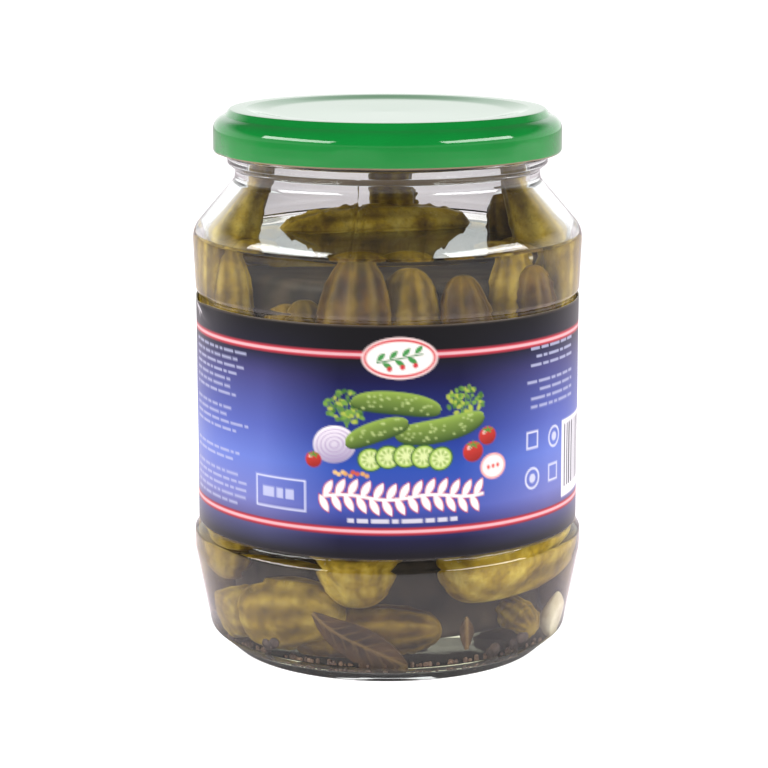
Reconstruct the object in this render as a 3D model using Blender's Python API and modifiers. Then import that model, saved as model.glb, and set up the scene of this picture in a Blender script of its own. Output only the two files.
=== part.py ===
"""A family-size glass jar of gherkins: twist-off lid, wrap-round paper label, pickles, a bay leaf and garlic.

Metres, +Z up. The origin is the middle of the ring that the jar stands on, and the front faces -Y.
"""

import math
import random

import bmesh
import bpy
import numpy as np
from mathutils import Matrix, Vector

MM = 0.001
TURNS = 36  # flats round every turned piece
SMALL_FILLET = 1.0 * MM
LARGE_FILLET = 4.0 * MM

# Jar: outside radii and heights, from the foot up
FOOT_RADIUS = 38.0 * MM
HEEL_RADIUS = 44.1 * MM
HEEL_TOP = 5.2 * MM
LOWER_BULGE_RADIUS = 47.9 * MM
LOWER_BULGE = (25.0 * MM, 29.4 * MM)
PANEL_RADIUS = 46.2 * MM
PANEL = (31.6 * MM, 88.3 * MM)
UPPER_BULGE_RADIUS = 47.55 * MM
UPPER_BULGE = (89.6 * MM, 103.8 * MM)
UPPER_BULGE_TAPER = 0.6 * MM
NECK_RADIUS = 37.1 * MM
NECK_FOOT = 116.1 * MM
BEAD_RADIUS = 38.9 * MM
BEAD = (119.9 * MM, 121.7 * MM)
FINISH_RADIUS = 37.6 * MM
RIM_HEIGHT = 131.9 * MM
WALL = 2.4 * MM
MOUTH_RADIUS = 34.6 * MM
BASE_TOP = 3.6 * MM  # at the wall
BASE_DOME = 3.0 * MM  # the middle of the base above that
PUNT_RISE = 3.2 * MM

# Lid: an 82 mm twist-off closure
LID_RADIUS = 42.3 * MM
LID_TOP = 132.9 * MM
LID_FOOT = 122.5 * MM
LID_SHOULDER = 130.1 * MM
LID_CROWN_RADIUS = 38.3 * MM
LID_RING_RADIUS = 34.2 * MM  # inside edge of the raised ring
LID_PANEL_RADIUS = 29.5 * MM
LID_PANEL_DROP = 0.8 * MM
LID_DISH = 0.25 * MM  # the vacuum draws the middle down
LID_BEND = 3.4 * MM
LID_PLATE = 0.7 * MM
LID_CURL = 0.9 * MM
LUGS = 6
LUG_SIZE = (9.0 * MM, 3.2 * MM, 1.4 * MM)

# Label
LABEL_RADIUS = 46.85 * MM
LABEL = (32.3 * MM, 87.6 * MM)
LABEL_THICKNESS = 0.3 * MM

# Bay leaf: its turn is in degrees, its azimuth from the front towards +X
LEAF_LENGTH = 24.0 * MM
LEAF_WIDTH = 9.5 * MM
LEAF_THICKNESS = 0.5 * MM
LEAF_TURN = -27.0
LEAF_AZIMUTH = -9.5
LEAF_HEIGHT = 10.4 * MM
LEAF_HOOK = 4.0 * MM

# Garlic clove: half its length either way
CLOVE = (5.0 * MM, 4.2 * MM, 5.4 * MM)

# Pickles: a core, and the gherkins that show round it
CORE_RADIUS = 28.5 * MM
CORE = (9.0 * MM, 91.0 * MM)
PICKLE_CLEAR = 1.1 * MM
CLEAR_STEP = 0.12 * MM  # added from one gherkin to the next, so that no two share a pressed face
CLEAR_STEPS = 4
GHERKIN_SIDES = 10
GHERKIN_RINGS = 9
BLUNTNESS = 2.5

COLLECTION = "pickle_jar"


def clear_scene():
    for old in list(bpy.data.objects):
        bpy.data.objects.remove(old, do_unlink=True)


def new_collection(name):
    collection = bpy.data.collections.new(name)
    bpy.context.scene.collection.children.link(collection)
    return collection


def finish(name, colour, roughness, metallic=0.0, alpha=1.0):
    material = bpy.data.materials.new(name)
    material.use_nodes = True
    shader = material.node_tree.nodes["Principled BSDF"]
    shader.inputs["Base Color"].default_value = (*colour, 1.0)
    shader.inputs["Roughness"].default_value = roughness
    shader.inputs["Metallic"].default_value = metallic
    shader.inputs["Alpha"].default_value = alpha
    return material


def rounded(corners):
    """The outline through corners (radius, height, fillet), each fillet an arc of one to three pieces."""
    spots = [Vector((radius, 0.0, height)) for radius, height, fillet in corners]
    outline = []
    for i, (radius, height, fillet) in enumerate(corners):
        if fillet == 0.0:
            outline.append(spots[i])
            continue
        back = (spots[i - 1] - spots[i]).normalized()
        onward = (spots[i + 1] - spots[i]).normalized()
        half_angle = back.angle(onward) / 2
        centre = spots[i] + (back + onward).normalized() * fillet / math.sin(half_angle)
        start = spots[i] + back * fillet / math.tan(half_angle) - centre
        end = spots[i] + onward * fillet / math.tan(half_angle) - centre
        steps = 1 if fillet < SMALL_FILLET else 2 if fillet < LARGE_FILLET else 3
        for step in range(steps + 1):
            outline.append(centre + fillet * start.slerp(end, step / steps).normalized())
    return outline


def turned(name, outline, material, collection, closed=False):
    """A piece turned round Z from an outline at +X that runs down its outer side."""
    mesh = bpy.data.meshes.new(name)
    edges = [(i, i + 1) for i in range(len(outline) - 1)]
    if closed:
        edges.append((len(outline) - 1, 0))
    mesh.from_pydata(outline, edges, [])
    mesh.materials.append(material)
    piece = bpy.data.objects.new(name, mesh)
    collection.objects.link(piece)
    screw = piece.modifiers.new("Turn", "SCREW")
    screw.steps = TURNS
    screw.render_steps = TURNS
    screw.use_merge_vertices = True
    screw.merge_threshold = 0.00001
    screw.use_smooth_shade = True
    return piece


def mesh_object(name, bm, material, collection):
    mesh = bpy.data.meshes.new(name)
    bm.to_mesh(mesh)
    bm.free()
    mesh.materials.append(material)
    piece = bpy.data.objects.new(name, mesh)
    collection.objects.link(piece)
    return piece


def inside_corners():
    """The glass's inner face, from the middle of the base up to the mouth."""
    lower = LOWER_BULGE_RADIUS - WALL
    panel = PANEL_RADIUS - WALL
    upper = UPPER_BULGE_RADIUS - WALL
    heel = HEEL_RADIUS - WALL
    return [
        (0.0, BASE_TOP + BASE_DOME, 0.0),
        (heel - 3.0 * MM, BASE_TOP, 3.0 * MM),
        (heel + 0.9 * MM, HEEL_TOP + 6.8 * MM, 6.0 * MM),
        (lower, LOWER_BULGE[0], 6.0 * MM),
        (lower, LOWER_BULGE[1] + 0.4 * MM, 3.0 * MM),
        (panel, PANEL[0] + 0.6 * MM, 1.5 * MM),
        (panel, PANEL[1] - 0.6 * MM, 1.5 * MM),
        (upper - UPPER_BULGE_TAPER, UPPER_BULGE[0] + 0.5 * MM, 2.0 * MM),
        (upper - 0.1 * MM, UPPER_BULGE[1] - 0.5 * MM, 5.0 * MM),
        (MOUTH_RADIUS, NECK_FOOT - 0.6 * MM, 3.0 * MM),
        (MOUTH_RADIUS, RIM_HEIGHT, 0.9 * MM),
    ]


def outside_corners():
    """The glass's outer face, from the mouth down to the middle of the foot."""
    return [
        (FINISH_RADIUS, RIM_HEIGHT, 0.9 * MM),
        (FINISH_RADIUS, BEAD[1] + 0.9 * MM, 0.0),
        (BEAD_RADIUS, BEAD[1], 0.5 * MM),
        (BEAD_RADIUS, BEAD[0], 0.5 * MM),
        (NECK_RADIUS, BEAD[0] - 1.4 * MM, 0.8 * MM),
        (NECK_RADIUS, NECK_FOOT, 3.0 * MM),
        (UPPER_BULGE_RADIUS, UPPER_BULGE[1], 6.0 * MM),
        (UPPER_BULGE_RADIUS - UPPER_BULGE_TAPER, UPPER_BULGE[0], 1.2 * MM),
        (PANEL_RADIUS, PANEL[1], 0.9 * MM),
        (PANEL_RADIUS, PANEL[0], 0.9 * MM),
        (LOWER_BULGE_RADIUS, LOWER_BULGE[1], 1.4 * MM),
        (LOWER_BULGE_RADIUS, LOWER_BULGE[0], 6.0 * MM),
        (HEEL_RADIUS, HEEL_TOP, 2.5 * MM),
        (FOOT_RADIUS, 0.0, 1.5 * MM),
        (FOOT_RADIUS - 3.0 * MM, 0.0, 0.6 * MM),
        (FOOT_RADIUS - 5.2 * MM, 1.6 * MM, 2.0 * MM),
        (0.0, PUNT_RISE, 0.0),
    ]


def glass_jar(collection):
    glass = finish("clear_glass", (0.86, 0.9, 0.88), 0.03, alpha=0.3)
    outline = rounded(inside_corners() + outside_corners())
    return turned("glass_jar", outline, glass, collection)


def lid_outline():
    """Pressed plate: a sunk middle, a raised ring over the rim, a sloping shoulder, a skirt and its curl."""
    panel_top = LID_TOP - LID_PANEL_DROP
    inner_skirt = LID_RADIUS - LID_PLATE
    over = [
        (0.0, panel_top - LID_DISH, 0.0),
        (LID_PANEL_RADIUS, panel_top, 12.0 * MM),
        (LID_RING_RADIUS, LID_TOP, 3.0 * MM),
        (LID_CROWN_RADIUS, LID_TOP, 0.7 * MM),
        (LID_CROWN_RADIUS + 1.0 * MM, LID_SHOULDER + 1.3 * MM, 0.8 * MM),
        (LID_RADIUS, LID_SHOULDER, LID_BEND),
        (LID_RADIUS, LID_FOOT, LID_CURL),
        (LID_RADIUS - 2 * LID_CURL, LID_FOOT, 0.8 * MM),
        (LID_RADIUS - 2 * LID_CURL, LID_FOOT + 2 * LID_CURL, 0.6 * MM),
    ]
    under = [
        (inner_skirt, LID_FOOT + 2 * LID_CURL, 0.0),
        (inner_skirt, LID_SHOULDER - LID_PLATE, LID_BEND - LID_PLATE),
        (LID_CROWN_RADIUS + 0.2 * MM, LID_SHOULDER + 0.6 * MM, 0.5 * MM),
        (LID_CROWN_RADIUS - 0.2 * MM, LID_TOP - LID_PLATE, 0.0),
        (LID_RING_RADIUS, LID_TOP - LID_PLATE, 0.0),
        (LID_PANEL_RADIUS, panel_top - LID_PLATE, 0.0),
        (0.0, panel_top - LID_DISH - LID_PLATE, 0.0),
    ]
    return rounded(over + under)


def lid(collection):
    lacquer = finish("green_lacquered_tinplate", (0.014, 0.305, 0.055), 0.25)
    cap = turned("lid", lid_outline(), lacquer, collection)
    lugs = new_collection("lid_lugs")
    length, depth, height = LUG_SIZE
    for turn in range(LUGS):
        bpy.ops.mesh.primitive_cube_add(size=1.0)
        lug = bpy.context.object
        lug.name = f"lug_{turn + 1}"
        angle = 2 * math.pi * (turn + 0.35) / LUGS
        ring = Matrix.Rotation(angle, 4, "Z")
        out = Matrix.Translation((LID_RADIUS - 0.8 * MM - depth / 2, 0.0, LID_FOOT + 1.3 * MM))
        lug.data.transform(ring @ out @ Matrix.Diagonal((depth, length, height, 1.0)))
        move_to(lug, lugs)
    fuse(cap, lugs)
    return cap


def move_to(piece, collection):
    for old in list(piece.users_collection):
        old.objects.unlink(piece)
    collection.objects.link(piece)


def fuse(base, others):
    """Joins the pieces of a collection to base for good, and removes them."""
    union = base.modifiers.new("Join", "BOOLEAN")
    union.operation = "UNION"
    union.operand_type = "COLLECTION"
    union.collection = others
    union.solver = "EXACT"
    bpy.context.view_layer.update()
    graph = bpy.context.evaluated_depsgraph_get()
    joined = bpy.data.meshes.new_from_object(base.evaluated_get(graph))
    base.modifiers.clear()
    base.data = joined
    for piece in list(others.objects):
        bpy.data.objects.remove(piece, do_unlink=True)
    bpy.data.collections.remove(others)


def label(collection):
    paper = finish("printed_paper", (0.03, 0.03, 0.09), 0.3)
    inner = LABEL_RADIUS - LABEL_THICKNESS
    outline = [
        Vector((LABEL_RADIUS, 0.0, LABEL[1])),
        Vector((LABEL_RADIUS, 0.0, LABEL[0])),
        Vector((inner, 0.0, LABEL[0])),
        Vector((inner, 0.0, LABEL[1])),
    ]
    return turned("label", outline, paper, collection, closed=True)


def room_radius(height, clear):
    """How far out a piece inside the jar may reach at a height, the flats of the turned glass allowed for."""
    corners = inside_corners()
    corners[-1] = (MOUTH_RADIUS, RIM_HEIGHT, 0.0)
    spots = rounded(corners)
    lowest = min(range(len(spots)), key=lambda row: spots[row].z)
    wall = spots[lowest:]
    reach = np.interp(height, [spot.z for spot in wall], [spot.x for spot in wall])
    return float(reach) * math.cos(math.pi / TURNS) - clear


def keep_inside(bm, clear=PICKLE_CLEAR):
    """Presses a piece flat where it would go through the glass."""
    for vert in bm.verts:
        reach = math.hypot(vert.co.x, vert.co.y)
        floor_height = BASE_TOP + BASE_DOME * (1.0 - reach / HEEL_RADIUS) + clear
        vert.co.z = max(vert.co.z, floor_height)
        most = room_radius(vert.co.z, clear)
        if reach > most:
            vert.co.x *= most / reach
            vert.co.y *= most / reach


def stand(azimuth, reach, height, lean, tip):
    """A place by its angle from the front towards +X, distance from the axis and height, leaning along
    the wall (90 is level) and tipping its top in towards the axis."""
    outward = Matrix.Rotation(math.radians(azimuth - 90.0), 4, "Z")
    where = Matrix.Translation((reach, 0.0, height))
    tilt = Matrix.Rotation(math.radians(-tip), 4, "Y") @ Matrix.Rotation(math.radians(-lean), 4, "X")
    return outward @ where @ tilt


def gherkin(name, place, length, width, bow, clear, material, collection):
    """A small cucumber: blunt ends, the stem end a little slimmer, bowed towards its own +X."""
    bm = bmesh.new()
    bmesh.ops.create_uvsphere(bm, u_segments=GHERKIN_SIDES, v_segments=GHERKIN_RINGS, radius=1.0)
    for vert in bm.verts:
        along = vert.co.z
        girth = (1.0 - min(1.0, abs(along)) ** BLUNTNESS) ** (1.0 / BLUNTNESS)
        around = math.atan2(vert.co.y, vert.co.x)
        radius = width / 2 * girth * (1.0 - 0.1 * along) * (abs(along) < 0.999)
        vert.co.x = radius * math.cos(around) + bow * (1.0 - along * along)
        vert.co.y = radius * math.sin(around)
        vert.co.z = along * length / 2
    bmesh.ops.transform(bm, matrix=place, verts=bm.verts)
    keep_inside(bm, clear)
    return mesh_object(name, bm, material, collection)


# Gherkins that show from the front: angle, distance from the axis, height of the middle, lean along the
# wall, tip towards the axis (degrees and millimetres), then length, width and bow in millimetres
TOP_FRONT = (
    (-80, 35.5, 99, 3, 14, 46, 15, 4.5),  # tall, against the left shoulder
    (79, 35.5, 99, -3, 13, 46, 16, 4.5),  # tall, against the right shoulder
    (-75, 33.8, 76, 2, 0, 50, 15.5, 1.0),  # under the tall one at the left
    (80, 33.6, 76, -2, 0, 50, 15, 1.0),  # under the tall one at the right
    (104, 33.0, 89, 8, 6, 46, 15, 1.5),  # behind it
    (-13, 33.0, 78, 3, 0, 48, 18, 1.5),  # broad, upright, just under the surface
    (8, 29.0, 77, 2, 0, 44, 16, 1.0),  # between it and the next, further in
    (31, 33.5, 75, -5, 0, 45, 14, 1.0),  # brown
    (55, 30.0, 79, 6, 2, 46, 12.5, 1.0),  # yellow, slim
    (61, 35.5, 75, -3, 0, 46, 13.5, 1.0),  # dark blossom end in front of it
    (-42, 33.0, 68, 4, 0, 44, 16, 1.0),  # low end beside the dark gap
    (-28, 34.0, 69, -6, 0, 45, 15, 1.0),  # the next low end
    (192, 15.0, 99.5, 90, 0, 50, 15, 0.0),  # level, its back clear of the brine
    (176, 20.0, 104, 4, 6, 40, 12, 1.0),  # upright behind it, up into the neck
)
BOTTOM_FRONT = (
    (-74, 34.0, 43.5, 2, 0, 47, 18, 1.0),  # pale, upright at the left edge
    (-64, 31.0, 13, 10, 82, 26, 13, 0.0),  # end-on at the lower left
    (-40, 32.0, 14.8, 80, 0, 28, 17, 1.5),  # level, round left end
    (-13, 33.0, 43.0, 177, 0, 49, 23, 1.0),  # bright yellow tip pointing down
    (55, 33.0, 28.3, 88, 0, 44, 20, -1.0),  # long and level at the right
    (-10, 29.0, 11.5, 86, 0, 34, 14, -1.0),  # speckled, on the base
    (60.5, 31.0, 12.5, 20, 70, 21, 7.5, 0.0),  # small, on the base at the right
)
BACK_AZIMUTHS = (118, 150, 182, 214, 246)
BACK_HEIGHTS = (18.0 * MM, 65.0 * MM)


def pickles(collection):
    """One heap: a core with every gherkin that shows fused to it."""
    green = finish("pickled_gherkin", (0.2, 0.16, 0.03), 0.35)
    bpy.ops.mesh.primitive_cylinder_add(
        vertices=16, radius=CORE_RADIUS, depth=CORE[1] - CORE[0], location=(0.0, 0.0, 0.0)
    )
    heap = bpy.context.object
    heap.name = "pickles"
    heap.data.name = "pickles"
    heap.data.transform(Matrix.Translation((0.0, 0.0, (CORE[0] + CORE[1]) / 2)))
    heap.data.materials.append(green)
    move_to(heap, collection)

    fused = new_collection("gherkins")
    count = 0
    for azimuth, reach, height, lean, tip, length, width, bow in TOP_FRONT + BOTTOM_FRONT:
        count += 1
        place = stand(azimuth, reach * MM, height * MM, lean, tip)
        clear = PICKLE_CLEAR + count % CLEAR_STEPS * CLEAR_STEP
        gherkin(f"gherkin_{count}", place, length * MM, width * MM, bow * MM, clear, green, fused)

    draw = random.Random(82)
    for height in BACK_HEIGHTS:
        for azimuth in BACK_AZIMUTHS:
            count += 1
            place = stand(
                azimuth + draw.uniform(-3.0, 3.0),
                34.0 * MM,
                height + draw.uniform(7.0, 12.0) * MM,
                draw.uniform(-12.0, 12.0),
                draw.uniform(0.0, 6.0),
            )
            length = draw.uniform(42.0, 50.0) * MM
            width = draw.uniform(17.0, 20.0) * MM
            clear = PICKLE_CLEAR + count % CLEAR_STEPS * CLEAR_STEP
            gherkin(f"gherkin_{count}", place, length, width, 1.5 * MM, clear, green, fused)
    fuse(heap, fused)
    return heap


def bay_leaf(collection):
    """A bay leaf bent round against the glass near the base, its point down to the right."""
    bm = bmesh.new()
    bmesh.ops.create_grid(bm, x_segments=14, y_segments=4, size=1.0)
    bmesh.ops.triangulate(bm, faces=bm.faces)
    for vert in bm.verts:
        along, across = vert.co.x, vert.co.y
        half_width = LEAF_WIDTH / 2 * (0.08 + 0.92 * math.cos(along * math.pi / 2) ** 0.8)
        flat = Vector((along * LEAF_LENGTH / 2, across * half_width, 0.0))
        flat.rotate(Matrix.Rotation(math.radians(LEAF_TURN), 3, "Z"))
        ripple = 0.5 * MM * math.sin(4.0 * along) * across
        height = LEAF_HEIGHT + flat.y + LEAF_HOOK * max(0.0, -along - 0.35) ** 2
        reach = room_radius(height, 1.1 * MM) - 0.4 * MM - 1.4 * MM * (1.0 - along) / 2 - ripple
        angle = flat.x / reach + math.radians(LEAF_AZIMUTH)
        vert.co = Vector((reach * math.sin(angle), -reach * math.cos(angle), height))
    leaf = mesh_object("bay_leaf", bm, finish("dried_bay", (0.14, 0.075, 0.025), 0.6), collection)
    solidify = leaf.modifiers.new("Thickness", "SOLIDIFY")
    solidify.thickness = LEAF_THICKNESS
    solidify.offset = 0.0
    return leaf


def garlic_clove(collection):
    """A peeled clove: plump, flatter on one side, drawn to a point at the top."""
    bm = bmesh.new()
    bmesh.ops.create_uvsphere(bm, u_segments=14, v_segments=10, radius=1.0)
    for vert in bm.verts:
        along = vert.co.z
        taper = 1.0 - 0.45 * max(0.0, along) ** 1.5
        vert.co.x *= CLOVE[0] * taper
        vert.co.y *= CLOVE[1] * taper
        vert.co.z = (along + 0.12 * along ** 3) * CLOVE[2]
    bmesh.ops.transform(bm, matrix=stand(75.5, 37.2 * MM, 10.0 * MM, 12, 6), verts=bm.verts)
    keep_inside(bm)
    return mesh_object("garlic_clove", bm, finish("garlic", (0.62, 0.55, 0.36), 0.4), collection)


def main():
    clear_scene()
    collection = new_collection(COLLECTION)
    glass_jar(collection)
    lid(collection)
    label(collection)
    pickles(collection)
    bay_leaf(collection)
    garlic_clove(collection)


main()
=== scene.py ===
"""A glass jar of gherkins, dressed: clear glass, brine, green lid, printed label, pickles and spices.

Metres, +Z up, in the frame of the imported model. The front of the label faces -Y, and azimuths are
degrees from the front towards +X.
"""

import math
import random

import bmesh
import bpy
import numpy as np
from mathutils import Matrix, Vector


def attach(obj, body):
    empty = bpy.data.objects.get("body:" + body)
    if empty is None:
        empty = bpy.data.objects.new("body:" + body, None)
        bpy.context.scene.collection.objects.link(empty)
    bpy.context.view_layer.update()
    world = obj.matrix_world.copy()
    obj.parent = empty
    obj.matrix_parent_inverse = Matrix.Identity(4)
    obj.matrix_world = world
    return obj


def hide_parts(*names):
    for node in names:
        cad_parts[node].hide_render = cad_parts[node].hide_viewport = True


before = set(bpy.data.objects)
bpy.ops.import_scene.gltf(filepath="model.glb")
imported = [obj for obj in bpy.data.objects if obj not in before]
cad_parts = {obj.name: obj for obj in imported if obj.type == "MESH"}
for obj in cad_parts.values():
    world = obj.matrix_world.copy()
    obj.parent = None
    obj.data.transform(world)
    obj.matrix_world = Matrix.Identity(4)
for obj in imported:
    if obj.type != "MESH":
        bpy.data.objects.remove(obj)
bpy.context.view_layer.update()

# The jar
# A 0.72 litre jar of clear soda-lime glass, blown in a two-part mould. The mould leaves a fine seam
# down two sides, and the blowing leaves the inner face slightly wavy. Brine and pickles fill it.
MM = 0.001
FOOT_RADIUS = 38.0 * MM
HEEL_RADIUS = 44.1 * MM
HEEL_TOP = 5.2 * MM
LOWER_BULGE_RADIUS = 47.9 * MM
LOWER_BULGE = (25.0 * MM, 29.4 * MM)
PANEL_RADIUS = 46.2 * MM
PANEL = (31.6 * MM, 88.3 * MM)
UPPER_BULGE_RADIUS = 47.55 * MM
UPPER_BULGE = (89.6 * MM, 103.8 * MM)
UPPER_BULGE_TAPER = 0.6 * MM
NECK_RADIUS = 37.1 * MM
NECK_FOOT = 116.1 * MM
BEAD_RADIUS = 38.9 * MM
BEAD = (119.9 * MM, 121.7 * MM)
FINISH_RADIUS = 37.6 * MM
RIM_HEIGHT = 131.9 * MM
WALL = 2.4 * MM
MOUTH_RADIUS = 34.6 * MM
BASE_TOP = 3.6 * MM  # at the wall
BASE_DOME = 3.0 * MM  # the middle of the base above that
PUNT_RISE = 3.2 * MM

BRINE_LEVEL = 102.0 * MM
GLASS_IOR = 1.52
BRINE_IOR = 1.34
GLASS_TURNS = 220
SEAM_AZIMUTHS = (-10.0, 170.0)
SEAM_HEIGHT = 0.07 * MM
SEAM_WIDTH = 0.45 * MM
WAVE_DEPTH = 0.12 * MM
WAVY = (14.0 * MM, 108.0 * MM)
RIPPLE = 14.3 * MM
RIPPLE_DEPTH = 0.5 * MM


def rounded(corners, arc_step=math.radians(10.0), longest=3.0 * MM):
    """The outline (radius, height) through corners (radius, height, fillet): each fillet is an arc, and
    long straight runs are divided."""
    spots = [Vector((radius, 0.0, height)) for radius, height, _ in corners]
    outline = []
    for i, (_, _, fillet) in enumerate(corners):
        if fillet == 0.0:
            outline.append(spots[i])
            continue
        back = (spots[i - 1] - spots[i]).normalized()
        onward = (spots[i + 1] - spots[i]).normalized()
        half_angle = back.angle(onward) / 2
        centre = spots[i] + (back + onward).normalized() * fillet / math.sin(half_angle)
        start = spots[i] + back * fillet / math.tan(half_angle) - centre
        end = spots[i] + onward * fillet / math.tan(half_angle) - centre
        steps = max(2, math.ceil((math.pi - 2 * half_angle) / arc_step))
        for step in range(steps + 1):
            outline.append(centre + fillet * start.slerp(end, step / steps).normalized())
    divided = [outline[0]]
    for spot in outline[1:]:
        last = divided[-1]
        parts = max(1, math.ceil((spot - last).length / longest))
        divided += [last.lerp(spot, part / parts) for part in range(1, parts + 1)]
    return [(spot.x, spot.z) for spot in divided]


def turned(outline, angles, offset=None, closed=False):
    """Points and faces of a piece turned round Z from an outline that runs down its outer side. offset
    gives how far out each point is moved, from its place in the outline, radius, height and angle."""
    points = []
    rings = []
    for row, (radius, height) in enumerate(outline):
        if radius < 1e-6:
            rings.append([len(points)] * len(angles))
            points.append((0.0, 0.0, height))
            continue
        rings.append(range(len(points), len(points) + len(angles)))
        for angle in angles:
            reach = radius + (offset(row, radius, height, angle) if offset else 0.0)
            points.append((reach * math.cos(angle), reach * math.sin(angle), height))
    faces = []
    pairs = list(zip(rings, rings[1:]))
    if closed:
        pairs.append((rings[-1], rings[0]))
    for upper, lower in pairs:
        for j in range(len(angles)):
            k = (j + 1) % len(angles)
            corners = (upper[j], lower[j], lower[k], upper[k])
            faces.append(tuple(dict.fromkeys(corners)))
    return points, faces


def all_round(count):
    """Even angles once round Z."""
    return [2 * math.pi * turn / count for turn in range(count)]


def new_piece(name, points, faces, material):
    """A smooth mesh object at the origin."""
    mesh = bpy.data.meshes.new(name)
    mesh.from_pydata([tuple(point) for point in points], [], [tuple(face) for face in faces])
    mesh.shade_smooth()
    mesh.materials.append(material)
    piece = bpy.data.objects.new(name, mesh)
    bpy.context.scene.collection.objects.link(piece)
    return piece


def colour(code):
    """A hex sRGB colour as linear red, green, blue and a full alpha."""
    channels = [int(code[i : i + 2], 16) / 255 for i in (1, 3, 5)]
    linear = [c / 12.92 if c <= 0.04045 else ((c + 0.055) / 1.055) ** 2.4 for c in channels]
    return (*linear, 1.0)


def add(tree, kind, inputs=None, stops=None, **settings):
    """Adds a node. An input takes a value or the socket that feeds it; stops are a colour ramp's."""
    node = tree.nodes.new(kind)
    for name, value in settings.items():
        setattr(node, name, value)
    for name, value in (inputs or {}).items():
        if isinstance(value, bpy.types.NodeSocket):
            tree.links.new(value, node.inputs[name])
        else:
            node.inputs[name].default_value = value
    for i, (place, shade) in enumerate(stops or []):
        elements = node.color_ramp.elements
        element = elements[i] if i < 2 else elements.new(place)
        element.position = place
        element.color = shade
    return node


def new_material(name):
    """A new material, its empty node tree, and the Object coordinates that its patterns follow."""
    material = bpy.data.materials.new(name)
    material.use_nodes = True
    tree = material.node_tree
    tree.nodes.clear()
    where = add(tree, "ShaderNodeTexCoord").outputs["Object"]
    return material, tree, where


def uneven(tree, where, size, depth, strength, detail=2.0, roughness=0.5):
    """The normal of a surface that rises and falls by up to a depth, in patches of a size."""
    inputs = {"Vector": where, "Scale": 1 / size, "Detail": detail, "Roughness": roughness}
    swell = add(tree, "ShaderNodeTexNoise", inputs)
    inputs = {"Height": swell.outputs[0], "Strength": strength, "Distance": depth}
    return add(tree, "ShaderNodeBump", inputs).outputs[0]


def let_lamps_through(tree, shader):
    """Shadow rays pass a clear material, so that lamps light what is behind it."""
    path = add(tree, "ShaderNodeLightPath")
    clear = add(tree, "ShaderNodeBsdfTransparent")
    inputs = {0: path.outputs["Is Shadow Ray"], 1: shader.outputs[0], 2: clear.outputs[0]}
    return add(tree, "ShaderNodeMixShader", inputs)


def clear_glass(name, ior):
    """Soda-lime container glass, fire-polished: sharp reflections, and a slow ripple in them. Where brine
    wets it, ior is that of glass to brine, so that this face hardly shows."""
    material, tree, where = new_material(name)
    glass = add(
        tree,
        "ShaderNodeBsdfPrincipled",
        {
            "Base Color": colour("#f8fbfa"),
            "Roughness": 0.0,
            "IOR": ior,
            "Transmission Weight": 1.0,
            "Normal": uneven(tree, where, RIPPLE, RIPPLE_DEPTH, 0.12, detail=1.0),
        },
    )
    mixed = let_lamps_through(tree, glass)
    add(tree, "ShaderNodeOutputMaterial", {"Surface": mixed.outputs[0]})
    return material


def inside_corners():
    """The glass's inner face, from the middle of the base up to the mouth."""
    lower = LOWER_BULGE_RADIUS - WALL
    panel = PANEL_RADIUS - WALL
    upper = UPPER_BULGE_RADIUS - WALL
    heel = HEEL_RADIUS - WALL
    return [
        (0.0, BASE_TOP + BASE_DOME, 0.0),
        (heel - 3.0 * MM, BASE_TOP, 3.0 * MM),
        (heel + 0.9 * MM, HEEL_TOP + 6.8 * MM, 6.0 * MM),
        (lower, LOWER_BULGE[0], 6.0 * MM),
        (lower, LOWER_BULGE[1] + 0.4 * MM, 3.0 * MM),
        (panel, PANEL[0] + 0.6 * MM, 1.5 * MM),
        (panel, PANEL[1] - 0.6 * MM, 1.5 * MM),
        (upper - UPPER_BULGE_TAPER, UPPER_BULGE[0] + 0.5 * MM, 2.0 * MM),
        (upper - 0.1 * MM, UPPER_BULGE[1] - 0.5 * MM, 5.0 * MM),
        (MOUTH_RADIUS, NECK_FOOT - 0.6 * MM, 3.0 * MM),
        (MOUTH_RADIUS, RIM_HEIGHT, 0.9 * MM),
    ]


def outside_corners():
    """The glass's outer face, from the mouth down to the middle of the foot."""
    return [
        (FINISH_RADIUS, RIM_HEIGHT, 0.9 * MM),
        (FINISH_RADIUS, BEAD[1] + 0.9 * MM, 0.0),
        (BEAD_RADIUS, BEAD[1], 0.5 * MM),
        (BEAD_RADIUS, BEAD[0], 0.5 * MM),
        (NECK_RADIUS, BEAD[0] - 1.4 * MM, 0.8 * MM),
        (NECK_RADIUS, NECK_FOOT, 3.0 * MM),
        (UPPER_BULGE_RADIUS, UPPER_BULGE[1], 6.0 * MM),
        (UPPER_BULGE_RADIUS - UPPER_BULGE_TAPER, UPPER_BULGE[0], 1.2 * MM),
        (PANEL_RADIUS, PANEL[1], 0.9 * MM),
        (PANEL_RADIUS, PANEL[0], 0.9 * MM),
        (LOWER_BULGE_RADIUS, LOWER_BULGE[1], 1.4 * MM),
        (LOWER_BULGE_RADIUS, LOWER_BULGE[0], 6.0 * MM),
        (HEEL_RADIUS, HEEL_TOP, 2.5 * MM),
        (FOOT_RADIUS, 0.0, 1.5 * MM),
        (FOOT_RADIUS - 3.0 * MM, 0.0, 0.6 * MM),
        (FOOT_RADIUS - 5.2 * MM, 1.6 * MM, 2.0 * MM),
        (0.0, PUNT_RISE, 0.0),
    ]


def azimuth_angle(azimuth):
    """An azimuth in degrees from the front, as an angle in radians from +X."""
    return math.radians(azimuth - 90.0)


def angle_between(angle, other):
    """How far an angle is ahead of another, at most half a turn either way."""
    return (angle - other + math.pi) % (2 * math.pi) - math.pi


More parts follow.
